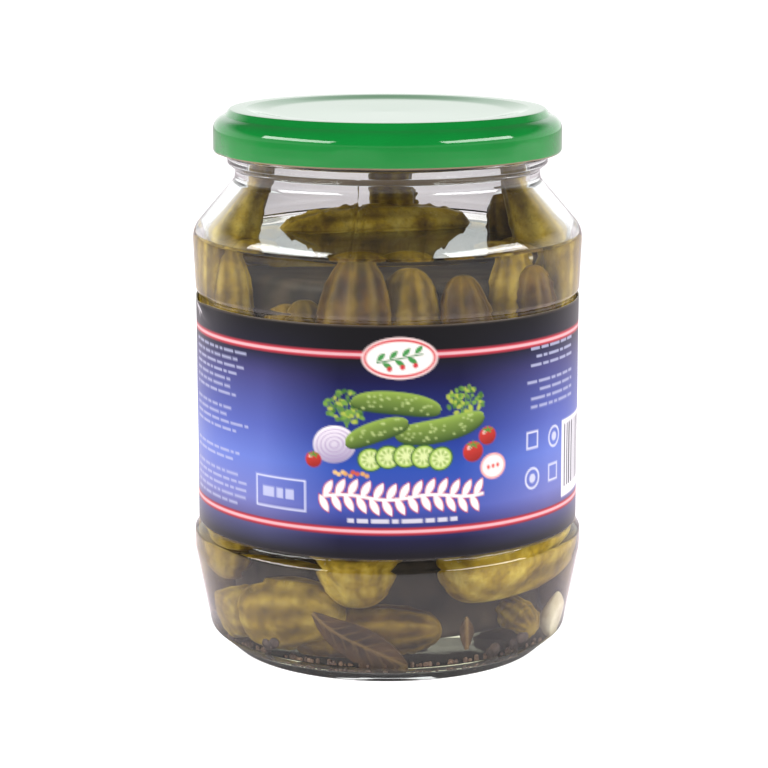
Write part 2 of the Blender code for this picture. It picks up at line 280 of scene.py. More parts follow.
def wall_wave(height, angle):
    """How far the inner face of the glass stands out from a true circle."""
    share = (height - WAVY[0]) / (WAVY[1] - WAVY[0])
    fade = math.sin(math.pi * min(1.0, max(0.0, share))) ** 0.5
    swing = math.sin(3 * angle + 70 * height) + 0.6 * math.sin(7 * angle - 160 * height + 1.0)
    return WAVE_DEPTH * fade * swing / 1.6


def seam_ridge(angle, radius):
    """How far a mould seam stands out from the outer face."""
    nearest = min(abs(angle_between(angle, azimuth_angle(seam))) for seam in SEAM_AZIMUTHS)
    return SEAM_HEIGHT * math.exp(-((nearest * radius / SEAM_WIDTH) ** 2))


glass_outline = rounded(inside_corners() + outside_corners())
rim_row = max(range(len(glass_outline)), key=lambda row: glass_outline[row][1])


def glass_offset(row, radius, height, angle):
    """The inner face waves, and the outer face of the body carries the seams."""
    if row < rim_row:
        return wall_wave(height, angle)
    on_body = HEEL_TOP < height < BEAD[0]
    return seam_ridge(angle, radius) if on_body else 0.0


glass_angles = set(all_round(GLASS_TURNS))
for seam in SEAM_AZIMUTHS:
    for step in range(-3, 4):
        place = azimuth_angle(seam) + step * 0.35 * SEAM_WIDTH / PANEL_RADIUS
        glass_angles.add(place % (2 * math.pi))
points, faces = turned(glass_outline, sorted(glass_angles), glass_offset)
glass = new_piece("jar_glass", points, faces, clear_glass("soda_lime_glass", GLASS_IOR))
glass.data.materials.append(clear_glass("soda_lime_glass_wetted_by_brine", GLASS_IOR / BRINE_IOR))
for face in glass.data.polygons:
    if face.index // len(glass_angles) < rim_row and face.center.z < BRINE_LEVEL:
        face.material_index = 1
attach(glass, "root")
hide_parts("glass_jar")

# The brine
# Vinegar, salt and sugar in water, stained yellow by the gherkins and slightly cloudy. It fills the jar
# to the shoulder, reaches just into the glass so that no air gap shows, and climbs a little up the wall.
MENISCUS_RISE = 0.6 * MM
MENISCUS_REACH = 2.2 * MM
MENISCUS_STEPS = 12
INTO_WALL = 0.12 * MM
JUST_UNDER = 0.05 * MM  # what lies above this, below the level, counts as the free surface
STAIN_DENSITY = 14.0
BRINE_TURNS = 160


def brine_liquid():
    """Pickling brine: water's reflections on its free surface, none where it touches the glass, and a
    yellow stain that deepens with the way through it."""
    material, tree, where = new_material("pickling_brine")
    height = add(tree, "ShaderNodeSeparateXYZ", {0: where}).outputs["Z"]
    inputs = {0: height, 1: BRINE_LEVEL - JUST_UNDER}
    at_surface = add(tree, "ShaderNodeMath", inputs, operation="GREATER_THAN")
    water = add(
        tree,
        "ShaderNodeBsdfPrincipled",
        {"Base Color": colour("#fffffe"), "Roughness": 0.0, "IOR": BRINE_IOR, "Transmission Weight": 1.0},
    )
    at_glass = add(tree, "ShaderNodeBsdfTransparent")
    inputs = {0: at_surface.outputs[0], 1: at_glass.outputs[0], 2: water.outputs[0]}
    mixed = let_lamps_through(tree, add(tree, "ShaderNodeMixShader", inputs))
    inputs = {"Color": colour("#f4ecc0"), "Density": STAIN_DENSITY}
    stain = add(tree, "ShaderNodeVolumeAbsorption", inputs)
    inputs = {"Surface": mixed.outputs[0], "Volume": stain.outputs[0]}
    add(tree, "ShaderNodeOutputMaterial", inputs)
    return material


wall_profile = rounded(inside_corners()[:-1] + [(MOUTH_RADIUS, RIM_HEIGHT, 0.0)])
lowest = min(range(len(wall_profile)), key=lambda row: wall_profile[row][1])
wall_heights = [height for _, height in wall_profile[lowest:]]
wall_radii = [radius for radius, _ in wall_profile[lowest:]]


def wall_radius(height):
    """The radius of the glass's inner face at a height, or at each of an array of heights."""
    return np.interp(height, wall_heights, wall_radii)


brine_top = BRINE_LEVEL + MENISCUS_RISE
brine_outline = [(0.0, BRINE_LEVEL)]
wet_radius = float(wall_radius(brine_top)) + INTO_WALL
for step in range(MENISCUS_STEPS + 1):
    share = step / MENISCUS_STEPS
    climb = MENISCUS_RISE * math.exp(-4.0 * (1.0 - share)) * (share > 0)
    brine_outline.append((wet_radius - MENISCUS_REACH * (1.0 - share), BRINE_LEVEL + climb))
for radius, height in reversed(wall_profile):
    if 0.0 < radius and height < BRINE_LEVEL:
        brine_outline.append((radius + INTO_WALL, height - INTO_WALL))
brine_outline.append((0.0, BASE_TOP + BASE_DOME - INTO_WALL))


def brine_offset(row, radius, height, angle):
    """Below its surface the brine follows the waves of the glass."""
    return wall_wave(height, angle) if row > MENISCUS_STEPS else 0.0


points, faces = turned(brine_outline, all_round(BRINE_TURNS), brine_offset)
brine = new_piece("brine", points, faces, brine_liquid())
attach(brine, "root")

# The lid
# An 82 mm twist-off closure pressed from tinplate, lacquered green. Its middle is sunk, its foot is
# curled in, and six lugs pressed in from the curl catch the threads of the jar.
LID_RADIUS = 42.3 * MM
LID_TOP = 132.9 * MM
LID_FOOT = 122.5 * MM
LID_SHOULDER = 130.1 * MM
LID_CROWN_RADIUS = 38.3 * MM
LID_RING_RADIUS = 34.2 * MM  # inside edge of the raised ring
LID_PANEL_RADIUS = 29.5 * MM
LID_PANEL_DROP = 0.8 * MM
LID_DISH = 0.25 * MM  # the vacuum draws the middle down
LID_BEND = 3.4 * MM
LID_PLATE = 0.7 * MM
LID_CURL = 0.9 * MM
LUGS = 6
LUG_LENGTH = 9.0 * MM
LUG_DEPTH = 3.2 * MM
LUG_DENT = 0.35 * MM
LUG_DENT_HEIGHT = 4.0 * MM
FIRST_LUG = 0.35  # of the way from one lug to the next, from +X
ORANGE_PEEL = 1.11 * MM
ORANGE_PEEL_DEPTH = 0.05 * MM
LID_TURNS = 288


def lid_corners():
    """Over the panel and down the skirt to the curl, then back under the plate."""
    panel_top = LID_TOP - LID_PANEL_DROP
    inner_skirt = LID_RADIUS - LID_PLATE
    return [
        (0.0, panel_top - LID_DISH, 0.0),
        (LID_PANEL_RADIUS, panel_top, 12.0 * MM),
        (LID_RING_RADIUS, LID_TOP, 3.0 * MM),
        (LID_CROWN_RADIUS, LID_TOP, 0.7 * MM),
        (LID_CROWN_RADIUS + 1.0 * MM, LID_SHOULDER + 1.3 * MM, 0.8 * MM),
        (LID_RADIUS, LID_SHOULDER, LID_BEND),
        (LID_RADIUS, LID_FOOT, LID_CURL),
        (LID_RADIUS - 2 * LID_CURL, LID_FOOT, 0.8 * MM),
        (LID_RADIUS - 2 * LID_CURL, LID_FOOT + 2 * LID_CURL, 0.6 * MM),
        (inner_skirt, LID_FOOT + 2 * LID_CURL, 0.0),
        (inner_skirt, LID_SHOULDER - LID_PLATE, LID_BEND - LID_PLATE),
        (LID_CROWN_RADIUS + 0.2 * MM, LID_SHOULDER + 0.6 * MM, 0.5 * MM),
        (LID_CROWN_RADIUS - 0.2 * MM, LID_TOP - LID_PLATE, 0.0),
        (LID_RING_RADIUS, LID_TOP - LID_PLATE, 0.0),
        (LID_PANEL_RADIUS, panel_top - LID_PLATE, 0.0),
        (0.0, panel_top - LID_DISH - LID_PLATE, 0.0),
    ]


def lid_offset(row, radius, height, angle):
    """Pushes the curl in to a lug at six places, and dents the skirt above each."""
    if height > LID_FOOT + LUG_DENT_HEIGHT or radius < LID_RADIUS - 3 * LID_CURL:
        return 0.0
    spacing = 2 * math.pi / LUGS
    off_lug = (angle / spacing - FIRST_LUG + 0.5) % 1.0 - 0.5
    lug = math.exp(-((off_lug * spacing * LID_RADIUS / (LUG_LENGTH / 2)) ** 4))
    if radius < LID_RADIUS - 1.5 * LID_CURL and height < LID_FOOT + 2.2 * LID_CURL:
        return -(LUG_DEPTH - LID_CURL) * lug
    rise = max(0.0, 1.0 - (height - LID_FOOT) / LUG_DENT_HEIGHT)
    return -LUG_DENT * lug * rise


def mottled(tree, where, patch, shades, detail=2.0, roughness=0.5):
    """A colour that drifts through shades, each (place, hex code), in soft patches of a size."""
    inputs = {"Vector": where, "Scale": 1 / patch, "Detail": detail, "Roughness": roughness}
    clouds = add(tree, "ShaderNodeTexNoise", inputs)
    stops = [(place, colour(code)) for place, code in shades]
    return add(tree, "ShaderNodeValToRGB", {"Fac": clouds.outputs[0]}, stops).outputs[0]


def surfaced(material, tree, look):
    """The material, with a Principled shader of that look on its output."""
    shader = add(tree, "ShaderNodeBsdfPrincipled", look)
    add(tree, "ShaderNodeOutputMaterial", {"Surface": shader.outputs[0]})
    return material


def green_lacquer():
    """Baked lacquer on tinplate: a deep even green under a glossy skin with a faint orange peel."""
    material, tree, where = new_material("green_lacquered_tinplate")
    lacquer = {
        "Base Color": mottled(tree, where, 22.2 * MM, ((0.3, "#087d2f"), (0.7, "#0c8635")), detail=3.0),
        "Roughness": 0.4,
        "Specular IOR Level": 0.0,
        "Coat Weight": 1.0,
        "Coat Roughness": 0.06,
        "Normal": uneven(tree, where, ORANGE_PEEL, ORANGE_PEEL_DEPTH, 0.1),
    }
    return surfaced(material, tree, lacquer)


def inner_lacquer():
    """The buff lacquer on the inside of the plate: matt and even."""
    material, tree, where = new_material("buff_inner_lacquer")
    buff = mottled(tree, where, 16.7 * MM, ((0.3, "#8d7c62"), (0.7, "#9c8b70")))
    return surfaced(material, tree, {"Base Color": buff, "Roughness": 0.45})


points, faces = turned(rounded(lid_corners(), longest=2.0 * MM), all_round(LID_TURNS), lid_offset)
lid = new_piece("lid_plate", points, faces, green_lacquer())
lid.data.materials.append(inner_lacquer())
for face in lid.data.polygons:
    outwards = face.normal.to_2d().dot(face.center.to_2d().normalized())
    if face.normal.z < -0.5 or outwards < -0.5:
        face.material_index = 1
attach(lid, "root")
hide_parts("lid")

# The label
# One sheet of printed, varnished paper wrapped round the panel and glued on an overlap at the back. Its
# upper edge has lifted and creased at the left. The print is a plain design of stripes, an oval badge,
# pictured vegetables, a leaf garland and rows of bars. The colours are laid on the mesh's own points.
LABEL_RADIUS = 46.85 * MM
LABEL = (32.3 * MM, 87.6 * MM)
LABEL_THICKNESS = 0.3 * MM
PRINT_STEP = 0.33  # mm between the points that carry the print
PRINT_AZIMUTHS = (-87.0, 92.0)
BACK_STEP = 2.2  # mm between columns where the print is plain
OVERLAP_AZIMUTH = 176.0
OVERLAP_STEP = 0.25 * MM
COCKLE = 0.05 * MM
CREASE_AZIMUTH = -74.0
CREASE_HEIGHT = 84.5  # mm
CREASE_LIFT = 0.75 * MM
PAPER_FIBRE = 0.625 * MM
PAPER_FIBRE_DEPTH = 0.04 * MM

radius_mm = LABEL_RADIUS / MM
fine_first, fine_last = (math.radians(azimuth) for azimuth in PRINT_AZIMUTHS)
fine_columns = round((fine_last - fine_first) * radius_mm / PRINT_STEP)
back_columns = round((2 * math.pi - fine_last + fine_first) * radius_mm / BACK_STEP)
fine = np.linspace(fine_first, fine_last, fine_columns)
back = np.linspace(fine_last, fine_first + 2 * math.pi, back_columns + 1)[1:-1]
label_azimuths = np.concatenate([fine, back])
label_rows = round((LABEL[1] - LABEL[0]) / MM / PRINT_STEP)
label_heights = np.linspace(LABEL[1] / MM, LABEL[0] / MM, label_rows)
arc_place, height_place = np.meshgrid(label_azimuths * radius_mm, label_heights)

# The ground of the print: black at both edges, through navy to a bright blue below the middle
ground_heights = (32.3, 33.5, 36.8, 40.5, 44.3, 54.0, 62.0, 74.8, 80.0, 87.6)
ground_codes = (
    "#0b080a", "#0c0b16", "#111136", "#2b3176", "#3d4fa4",
    "#284aa5", "#1a2f82", "#0a0a3c", "#07070f", "#060508",
)
# The ground lightened by a painted reflection, as it shows at the sides
painted_sheen_codes = (
    "#1a181b", "#26262f", "#414368", "#605d91", "#7278ba",
    "#667ac9", "#5361b0", "#3f3e76", "#17172b", "#090809",
)


def ground_colours(codes):
    """A field of colours that change with the height only."""
    stops = np.array([colour(code)[:3] for code in codes])
    return np.stack([np.interp(height_place, ground_heights, stops[:, c]) for c in range(3)], axis=-1)


# Painted reflection: the ground is lighter towards both sides, more so at the left, as glancing gloss from
# the bright surroundings. Widths are in mm along the label.
DESIGN_MIDDLE = 2.8  # from the front
EVEN_HALF_WIDTH = 14.0
LEFT_FADE = 20.0
RIGHT_FADE = 28.0
off_middle = arc_place - DESIGN_MIDDLE
fade_width = np.where(off_middle < 0, LEFT_FADE, RIGHT_FADE)
sheen_share = (abs(off_middle) - EVEN_HALF_WIDTH) / fade_width
sheen_share = np.clip(sheen_share, 0.0, 1.0)[..., None]
printed = ground_colours(ground_codes) * (1.0 - sheen_share) + ground_colours(painted_sheen_codes) * sheen_share


def lay(distance, shade, strength=1.0):
    """Prints one colour or a field of them where the distance in mm to a shape's edge is below 0."""
    share = (np.clip(0.5 - distance / PRINT_STEP, 0.0, 1.0) * strength)[..., None]
    printed[:] = printed * (1.0 - share) + np.asarray(shade) * share


def ink(code):
    return np.array(colour(code)[:3])


def blend(dark, light, level):
    """A field of colours from dark to light by a level of 0 to 1."""
    level = np.clip(level, 0.0, 1.0)[..., None]
    return ink(dark) * (1.0 - level) + ink(light) * level


def local(s, z, turn):
    """Coordinates along and across a shape that stands at s, z and is turned by degrees."""
    turn = math.radians(turn)
    ds = arc_place - s
    dz = height_place - z
    return ds * math.cos(turn) + dz * math.sin(turn), dz * math.cos(turn) - ds * math.sin(turn)


def oval(s, z, half_s, half_z, turn=0.0):
    along, across = local(s, z, turn)
    return (np.hypot(along / half_s, across / half_z) - 1.0) * min(half_s, half_z)


def stroke(s0, z0, s1, z1, width):
    """A line with round ends."""
    ds, dz = s1 - s0, z1 - z0
    share = np.clip(((arc_place - s0) * ds + (height_place - z0) * dz) / (ds * ds + dz * dz), 0.0, 1.0)
    return np.hypot(arc_place - s0 - share * ds, height_place - z0 - share * dz) - width / 2


def block(s0, z0, s1, z1):
    half_s, half_z = abs(s1 - s0) / 2, abs(z1 - z0) / 2
    return np.maximum(abs(arc_place - (s0 + s1) / 2) - half_s, abs(height_place - (z0 + z1) / 2) - half_z)


def leaf_shape(s, z, length, width, turn):
    """A leaf with two points, its middle at s, z."""
    along, across = local(s, z, turn)
    share = np.clip(1.0 - (2 * along / length) ** 2, 0.0, 1.0)
    beyond = np.maximum(0.0, abs(along) - length / 2)
    return abs(across) - width / 2 * share + beyond


SHORTEST_BAR = 0.8
BAR_GAP = 0.7


def bars(s0, s1, z, height, code, longest):
    """A row of short bars, as words look from a step away."""
    s = s0
    while s < s1 - SHORTEST_BAR:
        length = min(print_draw.uniform(1.2, longest), s1 - s)
        lay(block(s, z - height / 2, s + length, z + height / 2), ink(code), 0.75)
        s += length + BAR_GAP


print_draw = random.Random(17)

# Two triple stripes run round the whole label
for stripe_height in (80.8, 39.1):
    away = abs(height_place - stripe_height)
    lay(away - 0.95, ink("#2c1024"))
    lay(away - 0.8, ink("#c03a48"))
    lay(away - 0.3, ink("#e2b4b8"))

# An oval badge with a sprig
BADGE = (DESIGN_MIDDLE, 80.0)
for grow, shade in ((0.0, "#f3d9d6"), (-0.45, "#cf2f36"), (-1.0, "#f1ece6")):
    lay(oval(*BADGE, 8.8 + grow, 4.9 + grow), ink(shade))
lay(stroke(BADGE[0] - 5.2, BADGE[1] - 1.0, BADGE[0] + 5.2, BADGE[1] + 0.9, 0.35), ink("#2f7a3a"))
for k in range(-3, 4):
    side = 1 if k % 2 else -1
    place = (BADGE[0] + 1.45 * k, BADGE[1] + 0.28 * k + side * 1.1)
    lay(leaf_shape(*place, 2.7, 1.2, 38.0 * side + 8.0), ink("#3f8f45"))
for k in (-2, 0, 2):
    lay(oval(BADGE[0] + 1.5 * k + 0.6, BADGE[1] - 2.1 + 0.2 * k, 0.6, 0.6), ink("#c9303a"))


def off_from(s, z, u, v, turn):
    """The place that lies u along and v across from s, z on a shape turned by degrees."""
    tilt = math.radians(turn)
    return s + u * math.cos(tilt) - v * math.sin(tilt), z + u * math.sin(tilt) + v * math.cos(tilt)


def pictured_gherkin(s, z, length, width, turn, bow):
    """A gherkin in the picture: light along its upper side, with pale dots."""
    along, across = local(s, z, turn)
    share = np.clip(2 * along / length, -1.0, 1.0)
    across = across - bow * (1.0 - share * share)
    girth = width / 2 * (1.0 - abs(share) ** 2.6) ** (1 / 2.6)
    beyond = np.maximum(0.0, abs(along) - length / 2)
    level = 0.5 + 0.5 * across / np.maximum(girth, 0.1)
    level = level * (0.86 + 0.14 * np.cos(5 * level))
    lay(abs(across) - girth + beyond, blend("#22401a", "#9ab84e", level))
    for _ in range(int(length * 1.6)):
        u = print_draw.uniform(-0.85, 0.85)
        v = print_draw.uniform(-0.6, 0.7) * width / 2 + bow * (1.0 - u * u)
        lay(oval(*off_from(s, z, u * length / 2, v, turn), 0.32, 0.26), ink("#c2d58a"), 0.55)


def pictured_slice(s, z, size, squash, turn):
    """A round slice: dark rind, pale flesh and a ring of seeds."""
    for rind, shade in ((0.0, "#2f5a22"), (0.4, "#a8c860"), (0.9, "#d5e2a0")):
        lay(oval(s, z, size - rind, (size - rind) * squash, turn), ink(shade))
    for k in range(9):
        angle = 2 * math.pi * k / 9
        spot = off_from(s, z, 0.5 * size * math.cos(angle), 0.5 * size * squash * math.sin(angle), turn)
        lay(oval(*spot, 0.55, 0.28, turn + math.degrees(angle)), ink("#8fae52"))


def pictured_tomato(s, z, size):
    """A tomato, lit from the upper left, with a green star of sepals."""
    level = 0.62 + 0.4 * ((height_place - z) - 0.3 * (arc_place - s)) / size
    lay(oval(s, z, size, size * 0.94), blend("#6e1216", "#cf3a2e", level))
    lay(oval(s - 0.35 * size, z + 0.4 * size, 0.26 * size, 0.16 * size, 30.0), ink("#ffd9cf"), 0.8)
    for k in range(5):
        angle = math.radians(90 + 72 * k)
        tip = (s + 0.55 * size * math.cos(angle), z + 0.62 * size + 0.3 * size * math.sin(angle))
        lay(stroke(s, z + 0.62 * size, *tip, 0.4), ink("#4f8a34"))


def pictured_parsley(s, z, spread, count):
    """A bunch of curly leaf on thin stems."""
    for k in range(5):
        top = (s + spread * (k - 2) / 2.6, z + spread * print_draw.uniform(0.2, 0.6))
        lay(stroke(s, z - spread, *top, 0.3), ink("#5f8a3a"))
    for _ in range(count):
        angle = print_draw.uniform(0.0, 2 * math.pi)
        reach = spread * print_draw.uniform(0.1, 1.0) ** 0.7
        spot = (s + 1.15 * reach * math.cos(angle), z + 0.8 * reach * math.sin(angle))
        shade = print_draw.choice(("#3f6e2c", "#6f9a3c", "#a6b548", "#55803a"))
        size = print_draw.uniform(0.35, 0.75)
        lay(oval(*spot, size, size * 0.7, print_draw.uniform(0.0, 180.0)), ink(shade))


# The picture: parsley, an onion half, whole gherkins lying level, slices in a fan, tomatoes and spices.
# Each starts with its place in mm, along the label from the front and up from the foot of the jar, and
# its size follows.
ONION = (-12.5, 59.5)
ONION_TURN = 12.0
PARSLEY = ((-9.5, 68.5, 4.6, 85), (18.5, 69.5, 4.2, 75))
GHERKINS = (
    (2.0, 68.6, 21.0, 5.4, -6.0, 0.9),
    (12.5, 63.6, 22.0, 5.8, 9.0, -0.8),
    (-2.5, 62.3, 15.5, 5.0, 20.0, 0.5),
)
SLICES = 5
TOMATOES = ((20.5, 57.2, 2.6), (24.3, 60.6, 2.3), (-17.6, 55.6, 2.0))
SPICE_DOTS = 9
for bunch in PARSLEY:
    pictured_parsley(*bunch)
across = local(*ONION, ONION_TURN)[1]
lay(oval(*ONION, 5.2, 4.4, ONION_TURN), blend("#8d83a6", "#f4eef2", 0.55 + across / 9.0))
for size in (4.3, 3.3, 2.2, 1.1):
    lay(abs(oval(*ONION, size, size * 0.82, ONION_TURN)) - 0.16, ink("#a58fb6"), 0.75)
for whole in GHERKINS:
    pictured_gherkin(*whole)
for k in range(SLICES):
    pictured_slice(-4.0 + 4.1 * k, 56.2 + 0.9 * math.sin(0.8 * k), 3.1, 0.92, 8.0 * k)
for tomato in TOMATOES:
    pictured_tomato(*tomato)
for k in range(SPICE_DOTS):
    spot = (-12.5 + 0.95 * k + print_draw.uniform(-0.3, 0.3), 52.8 + print_draw.uniform(-0.7, 0.7))
    lay(oval(*spot, 0.55, 0.5), ink(print_draw.choice(("#d8a15c", "#c9563a", "#e3bd7c"))))

# A pink seal with three dots
SEAL = (25.9, 53.2)
lay(oval(*SEAL, 3.5, 3.1), ink("#e9a7a2"))
lay(oval(*SEAL, 3.0, 2.6), ink("#f6e4df"))
for k in (-1, 0, 1):
    lay(oval(SEAL[0] + 1.3 * k, SEAL[1] + 0.15 * k, 0.42, 0.5), ink("#d4574f"))

# The garland in white with red edges, where a title would be
GARLAND = (-14.6, 22.6)
GARLAND_HEIGHT = 47.2
GARLAND_STEM = 38.6  # its length in mm
GARLAND_SPACING = 3.0


def garland_line(s):
    """The height of the garland's stem, which waves a little."""
    return GARLAND_HEIGHT + 0.5 * np.sin((s - GARLAND[0]) * 0.32)


stem_away = abs(height_place - garland_line(arc_place)) - 0.35
past_stem = abs(arc_place - sum(GARLAND) / 2) - GARLAND_STEM / 2
for edge, shade in ((0.3, "#c22a3c"), (0.0, "#f4eeee")):
    for s in np.arange(*GARLAND, GARLAND_SPACING):
        for side in (-1, 1):
            place = (s + 0.5 * side, garland_line(s) + 1.8 * side)
            lay(leaf_shape(*place, 4.6 + 1.6 * edge, 1.75 + 1.6 * edge, 62.0 * side), ink(shade))
    lay(np.maximum(stem_away - edge / 2, past_stem), ink(shade))

# Rows of bars: one under the garland, one in a frame at the left, and small ones at both sides
FRAME_PLACE = (-33.5, 43.0, -19.8, 50.2)
LEFT_ROWS = [row for row in range(22) if row not in (7, 12, 13, 16)]
RIGHT_ROWS = [row for row in range(8) if row != 3]
bars(-9.4, 16.6, 41.6, 1.0, "#e6e3ea", 5.0)
lay(abs(block(*FRAME_PLACE)) - 0.2, ink("#cfd3ea"))
bars(-31.6, -21.7, 46.6, 2.4, "#c8cde6", 3.4)
for row in LEFT_ROWS:
    bars(-64.0, -36.0 - print_draw.uniform(0.0, 7.5), 78.4 - 1.74 * row, 0.6, "#b4b8d6", 5.5)
for row in RIGHT_ROWS:
    bars(36.0 + print_draw.uniform(0.0, 6.5), 58.0, 79.5 - 2.0 * row, 0.65, "#b4b8d6", 5.5)

# Plain marks and a white panel of dark lines at the right
for s, z in ((38.3, 57.6), (47.0, 48.4)):
    lay(abs(block(s - 1.9, z - 1.9, s + 1.9, z + 1.9)) - 0.22, ink("#d5d6e6"))
for s, z in ((47.4, 57.0), (38.4, 48.3)):
    lay(abs(oval(s, z, 2.4, 2.4)) - 0.25, ink("#d5d6e6"))
    lay(oval(s, z, 1.1, 1.1), ink("#d5d6e6"), 0.8)
PANEL_PLACE = (51.6, 41.0, 74.0, 60.0)
lay(block(*PANEL_PLACE), ink("#eceaf0"))
s = PANEL_PLACE[0] + 1.6
while s < PANEL_PLACE[2] - 1.6:
    thick = print_draw.choice((0.35, 0.35, 0.7, 1.05))
    lay(block(s, PANEL_PLACE[1] + 2.4, s + thick, PANEL_PLACE[3] - 1.2), ink("#202234"))
    s += thick + print_draw.choice((0.4, 0.7, 1.0))

# The cut edge of the paper shows tan, and the crease at the upper left carries a painted highlight and a
# painted shadow
lay(LABEL[1] / MM - 0.25 - height_place, ink("#5b5046"))
lay(height_place - LABEL[0] / MM - 0.2, ink("#3c3836"))
crease_s = math.radians(CREASE_AZIMUTH) * radius_mm
# Painted highlight where the fold faces the light
lay(oval(crease_s, 86.2, 2.4, 0.8, -24.0), ink("#dcd8dc"), 0.9)
lay(oval(crease_s - 1.6, 85.2, 1.7, 0.45, -52.0), ink("#c9c4ca"), 0.8)
# Painted shadow in the fold
lay(oval(crease_s + 0.4, 85.6, 1.1, 0.3, -30.0), ink("#2b2629"), 0.8)

# The back of the paper has fewer rows, but for the stretch at the top that lifts
label_outline = [(LABEL_RADIUS, height * MM) for height in label_heights]
inner_heights = list(label_heights[::-20]) + list(label_heights[6::-3])
label_outline += [(LABEL_RADIUS - LABEL_THICKNESS, height * MM) for height in inner_heights]


def label_offset(row, radius, height, angle):
    """The overlap at the back stands proud, the sheet cockles a little, and the upper left edge has
    lifted."""
    azimuth = math.degrees(angle_between(angle, azimuth_angle(0.0)))
    cockle = COCKLE * math.sin(0.11 * azimuth + 90.0 * height) * math.sin(0.07 * azimuth - 160.0 * height)
    step = OVERLAP_STEP * (OVERLAP_AZIMUTH < azimuth)
    across = (azimuth - CREASE_AZIMUTH) / 6.5
    up = max(0.0, (height / MM - CREASE_HEIGHT + 1.2 * across) / 3.1)
    return cockle + step + CREASE_LIFT * min(1.0, up) * math.exp(-across * across)


def varnished_print():
    """Printed paper under varnish: flat inks, a soft sheen, and the paper's fibre just felt in it."""
    material, tree, where = new_material("varnished_printed_paper")
    paper = {
        "Base Color": add(tree, "ShaderNodeAttribute", attribute_name="print").outputs["Color"],
        "Roughness": 0.3,
        "Specular IOR Level": 0.22,
        "Normal": uneven(tree, where, PAPER_FIBRE, PAPER_FIBRE_DEPTH, 0.12, detail=3.0),
    }
    return surfaced(material, tree, paper)


label_angles = [azimuth_angle(math.degrees(azimuth)) for azimuth in label_azimuths]
points, faces = turned(label_outline, label_angles, label_offset, closed=True)
label = new_piece("label_sheet", points, faces, varnished_print())
paint = label.data.attributes.new("print", "FLOAT_COLOR", "POINT")
paper_back = np.broadcast_to(ink("#b9b2a8"), (len(inner_heights), len(label_azimuths), 3))
layers = np.concatenate([printed, paper_back], axis=0).reshape(-1, 3)
paint.data.foreach_set("color", np.hstack([layers, np.ones((len(layers), 1))]).astype(np.float32).ravel())
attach(label, "root")
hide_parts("label")

# The gherkins
# Small cucumbers pickled whole: olive skin gone translucent and brown in the brine, pale streaks from the
# blossom end, and warts. They are packed upright and level against the glass, round a darker middle.
PICKLE_CLEAR = 1.0 * MM
SOFT_PRESS = 1.2 * MM
BLUNTNESS = 2.5
RIB_CONTRAST = 0.22
LUMP_RELIEF = 0.13 * MM
RIB_RELIEF = 0.2 * MM
WART_RELIEF = 0.65 * MM
WARTS = 75
WART_SIZES = (0.8 * MM, 1.35 * MM)
SKIN_PATCH = 7.69 * MM
SKIN_SPECK = 1.11 * MM
SKIN_SPECK_DEPTH = 0.2 * MM

# Angle from the front, distance from the axis, height of the middle, lean along the wall, tip towards
# the axis (degrees and millimetres), length, width and bow in millimetres, how yellow and how warty it is
TOP_FRONT = (
    (-80, 35.5, 99, 3, 14, 46, 15, 4.5, 0.75, 1.0),
    (79, 35.5, 99, -3, 13, 46, 16, 4.5, 0.65, 0.6),
    (-75, 33.8, 76, 2, 0, 50, 15.5, 1.0, 0.6, 0.8),
    (80, 33.6, 76, -2, 0, 50, 15, 1.0, 0.7, 0.7),
    (104, 33.0, 89, 8, 6, 46, 15, 1.5, 0.15, 1.6),
    (-13, 33.0, 78, 3, 0, 48, 18, 1.5, 0.05, 0.8),
    (8, 29.0, 77, 2, 0, 44, 16, 1.0, 0.25, 1.0),
    (31, 33.5, 75, -5, 0, 45, 14, 1.0, 0.0, 1.0),
    (55, 30.0, 79, 6, 2, 46, 12.5, 1.0, 0.5, 0.8),
    (61, 35.5, 75, -3, 0, 46, 13.5, 1.0, 0.0, 1.8),
    (-42, 33.0, 68, 4, 0, 44, 16, 1.0, 0.15, 1.0),
    (-28, 34.0, 69, -6, 0, 45, 15, 1.0, 0.2, 1.0),
    (192, 15.0, 99.5, 90, 0, 50, 15, 0.0, 0.75, 2.2),
    (176, 20.0, 104, 4, 6, 40, 12, 1.0, 0.35, 1.0),
)
BOTTOM_FRONT = (
    (-74, 34.0, 43.5, 2, 0, 47, 18, 1.0, 0.8, 0.6),
    (-64, 31.0, 13, 10, 82, 26, 13, 0.0, 0.6, 0.8),
    (-40, 32.0, 14.8, 80, 0, 28, 17, 1.5, 0.5, 0.5),
    (-13, 33.0, 43.0, 177, 0, 49, 23, 1.0, 1.0, 0.4),
    (55, 33.0, 28.3, 88, 0, 44, 20, -1.0, 0.9, 0.5),
    (-10, 29.0, 11.5, 86, 0, 34, 14, -1.0, 0.15, 1.4),
    (60.5, 31.0, 12.5, 20, 70, 21, 7.5, 0.0, 0.7, 0.8),
)
BACK_AZIMUTHS = (118, 150, 182, 214, 246)
BACK_HEIGHTS = (18.0 * MM, 65.0 * MM)
BACK_REACH = 34.0 * MM
BACK_BOW = 1.5 * MM


def stand(azimuth, reach, height, lean, tip):
    """A place by its azimuth, distance from the axis and height, leaning along the wall (90 is level) and
    tipping its top in towards the axis."""
    outward = Matrix.Rotation(azimuth_angle(azimuth), 4, "Z")
    where = Matrix.Translation((reach, 0.0, height))
    tilt = Matrix.Rotation(math.radians(-tip), 4, "Y") @ Matrix.Rotation(math.radians(-lean), 4, "X")
    return outward @ where @ tilt


def keep_inside(points):
    """Presses points back softly where they would go through the glass."""
    reach = np.hypot(points[:, 0], points[:, 1])
    floor_height = BASE_TOP + BASE_DOME * (1.0 - reach / HEEL_RADIUS) + PICKLE_CLEAR
    points[:, 2] = np.maximum(points[:, 2], floor_height)
    most = wall_radius(points[:, 2]) - PICKLE_CLEAR
    excess = np.maximum(0.0, reach - most + SOFT_PRESS)
    pressed = np.where(excess > 0, most - SOFT_PRESS * np.exp(-excess / SOFT_PRESS), reach)
    points[:, :2] *= (pressed / np.maximum(reach, 1e-9))[:, None]
    return points


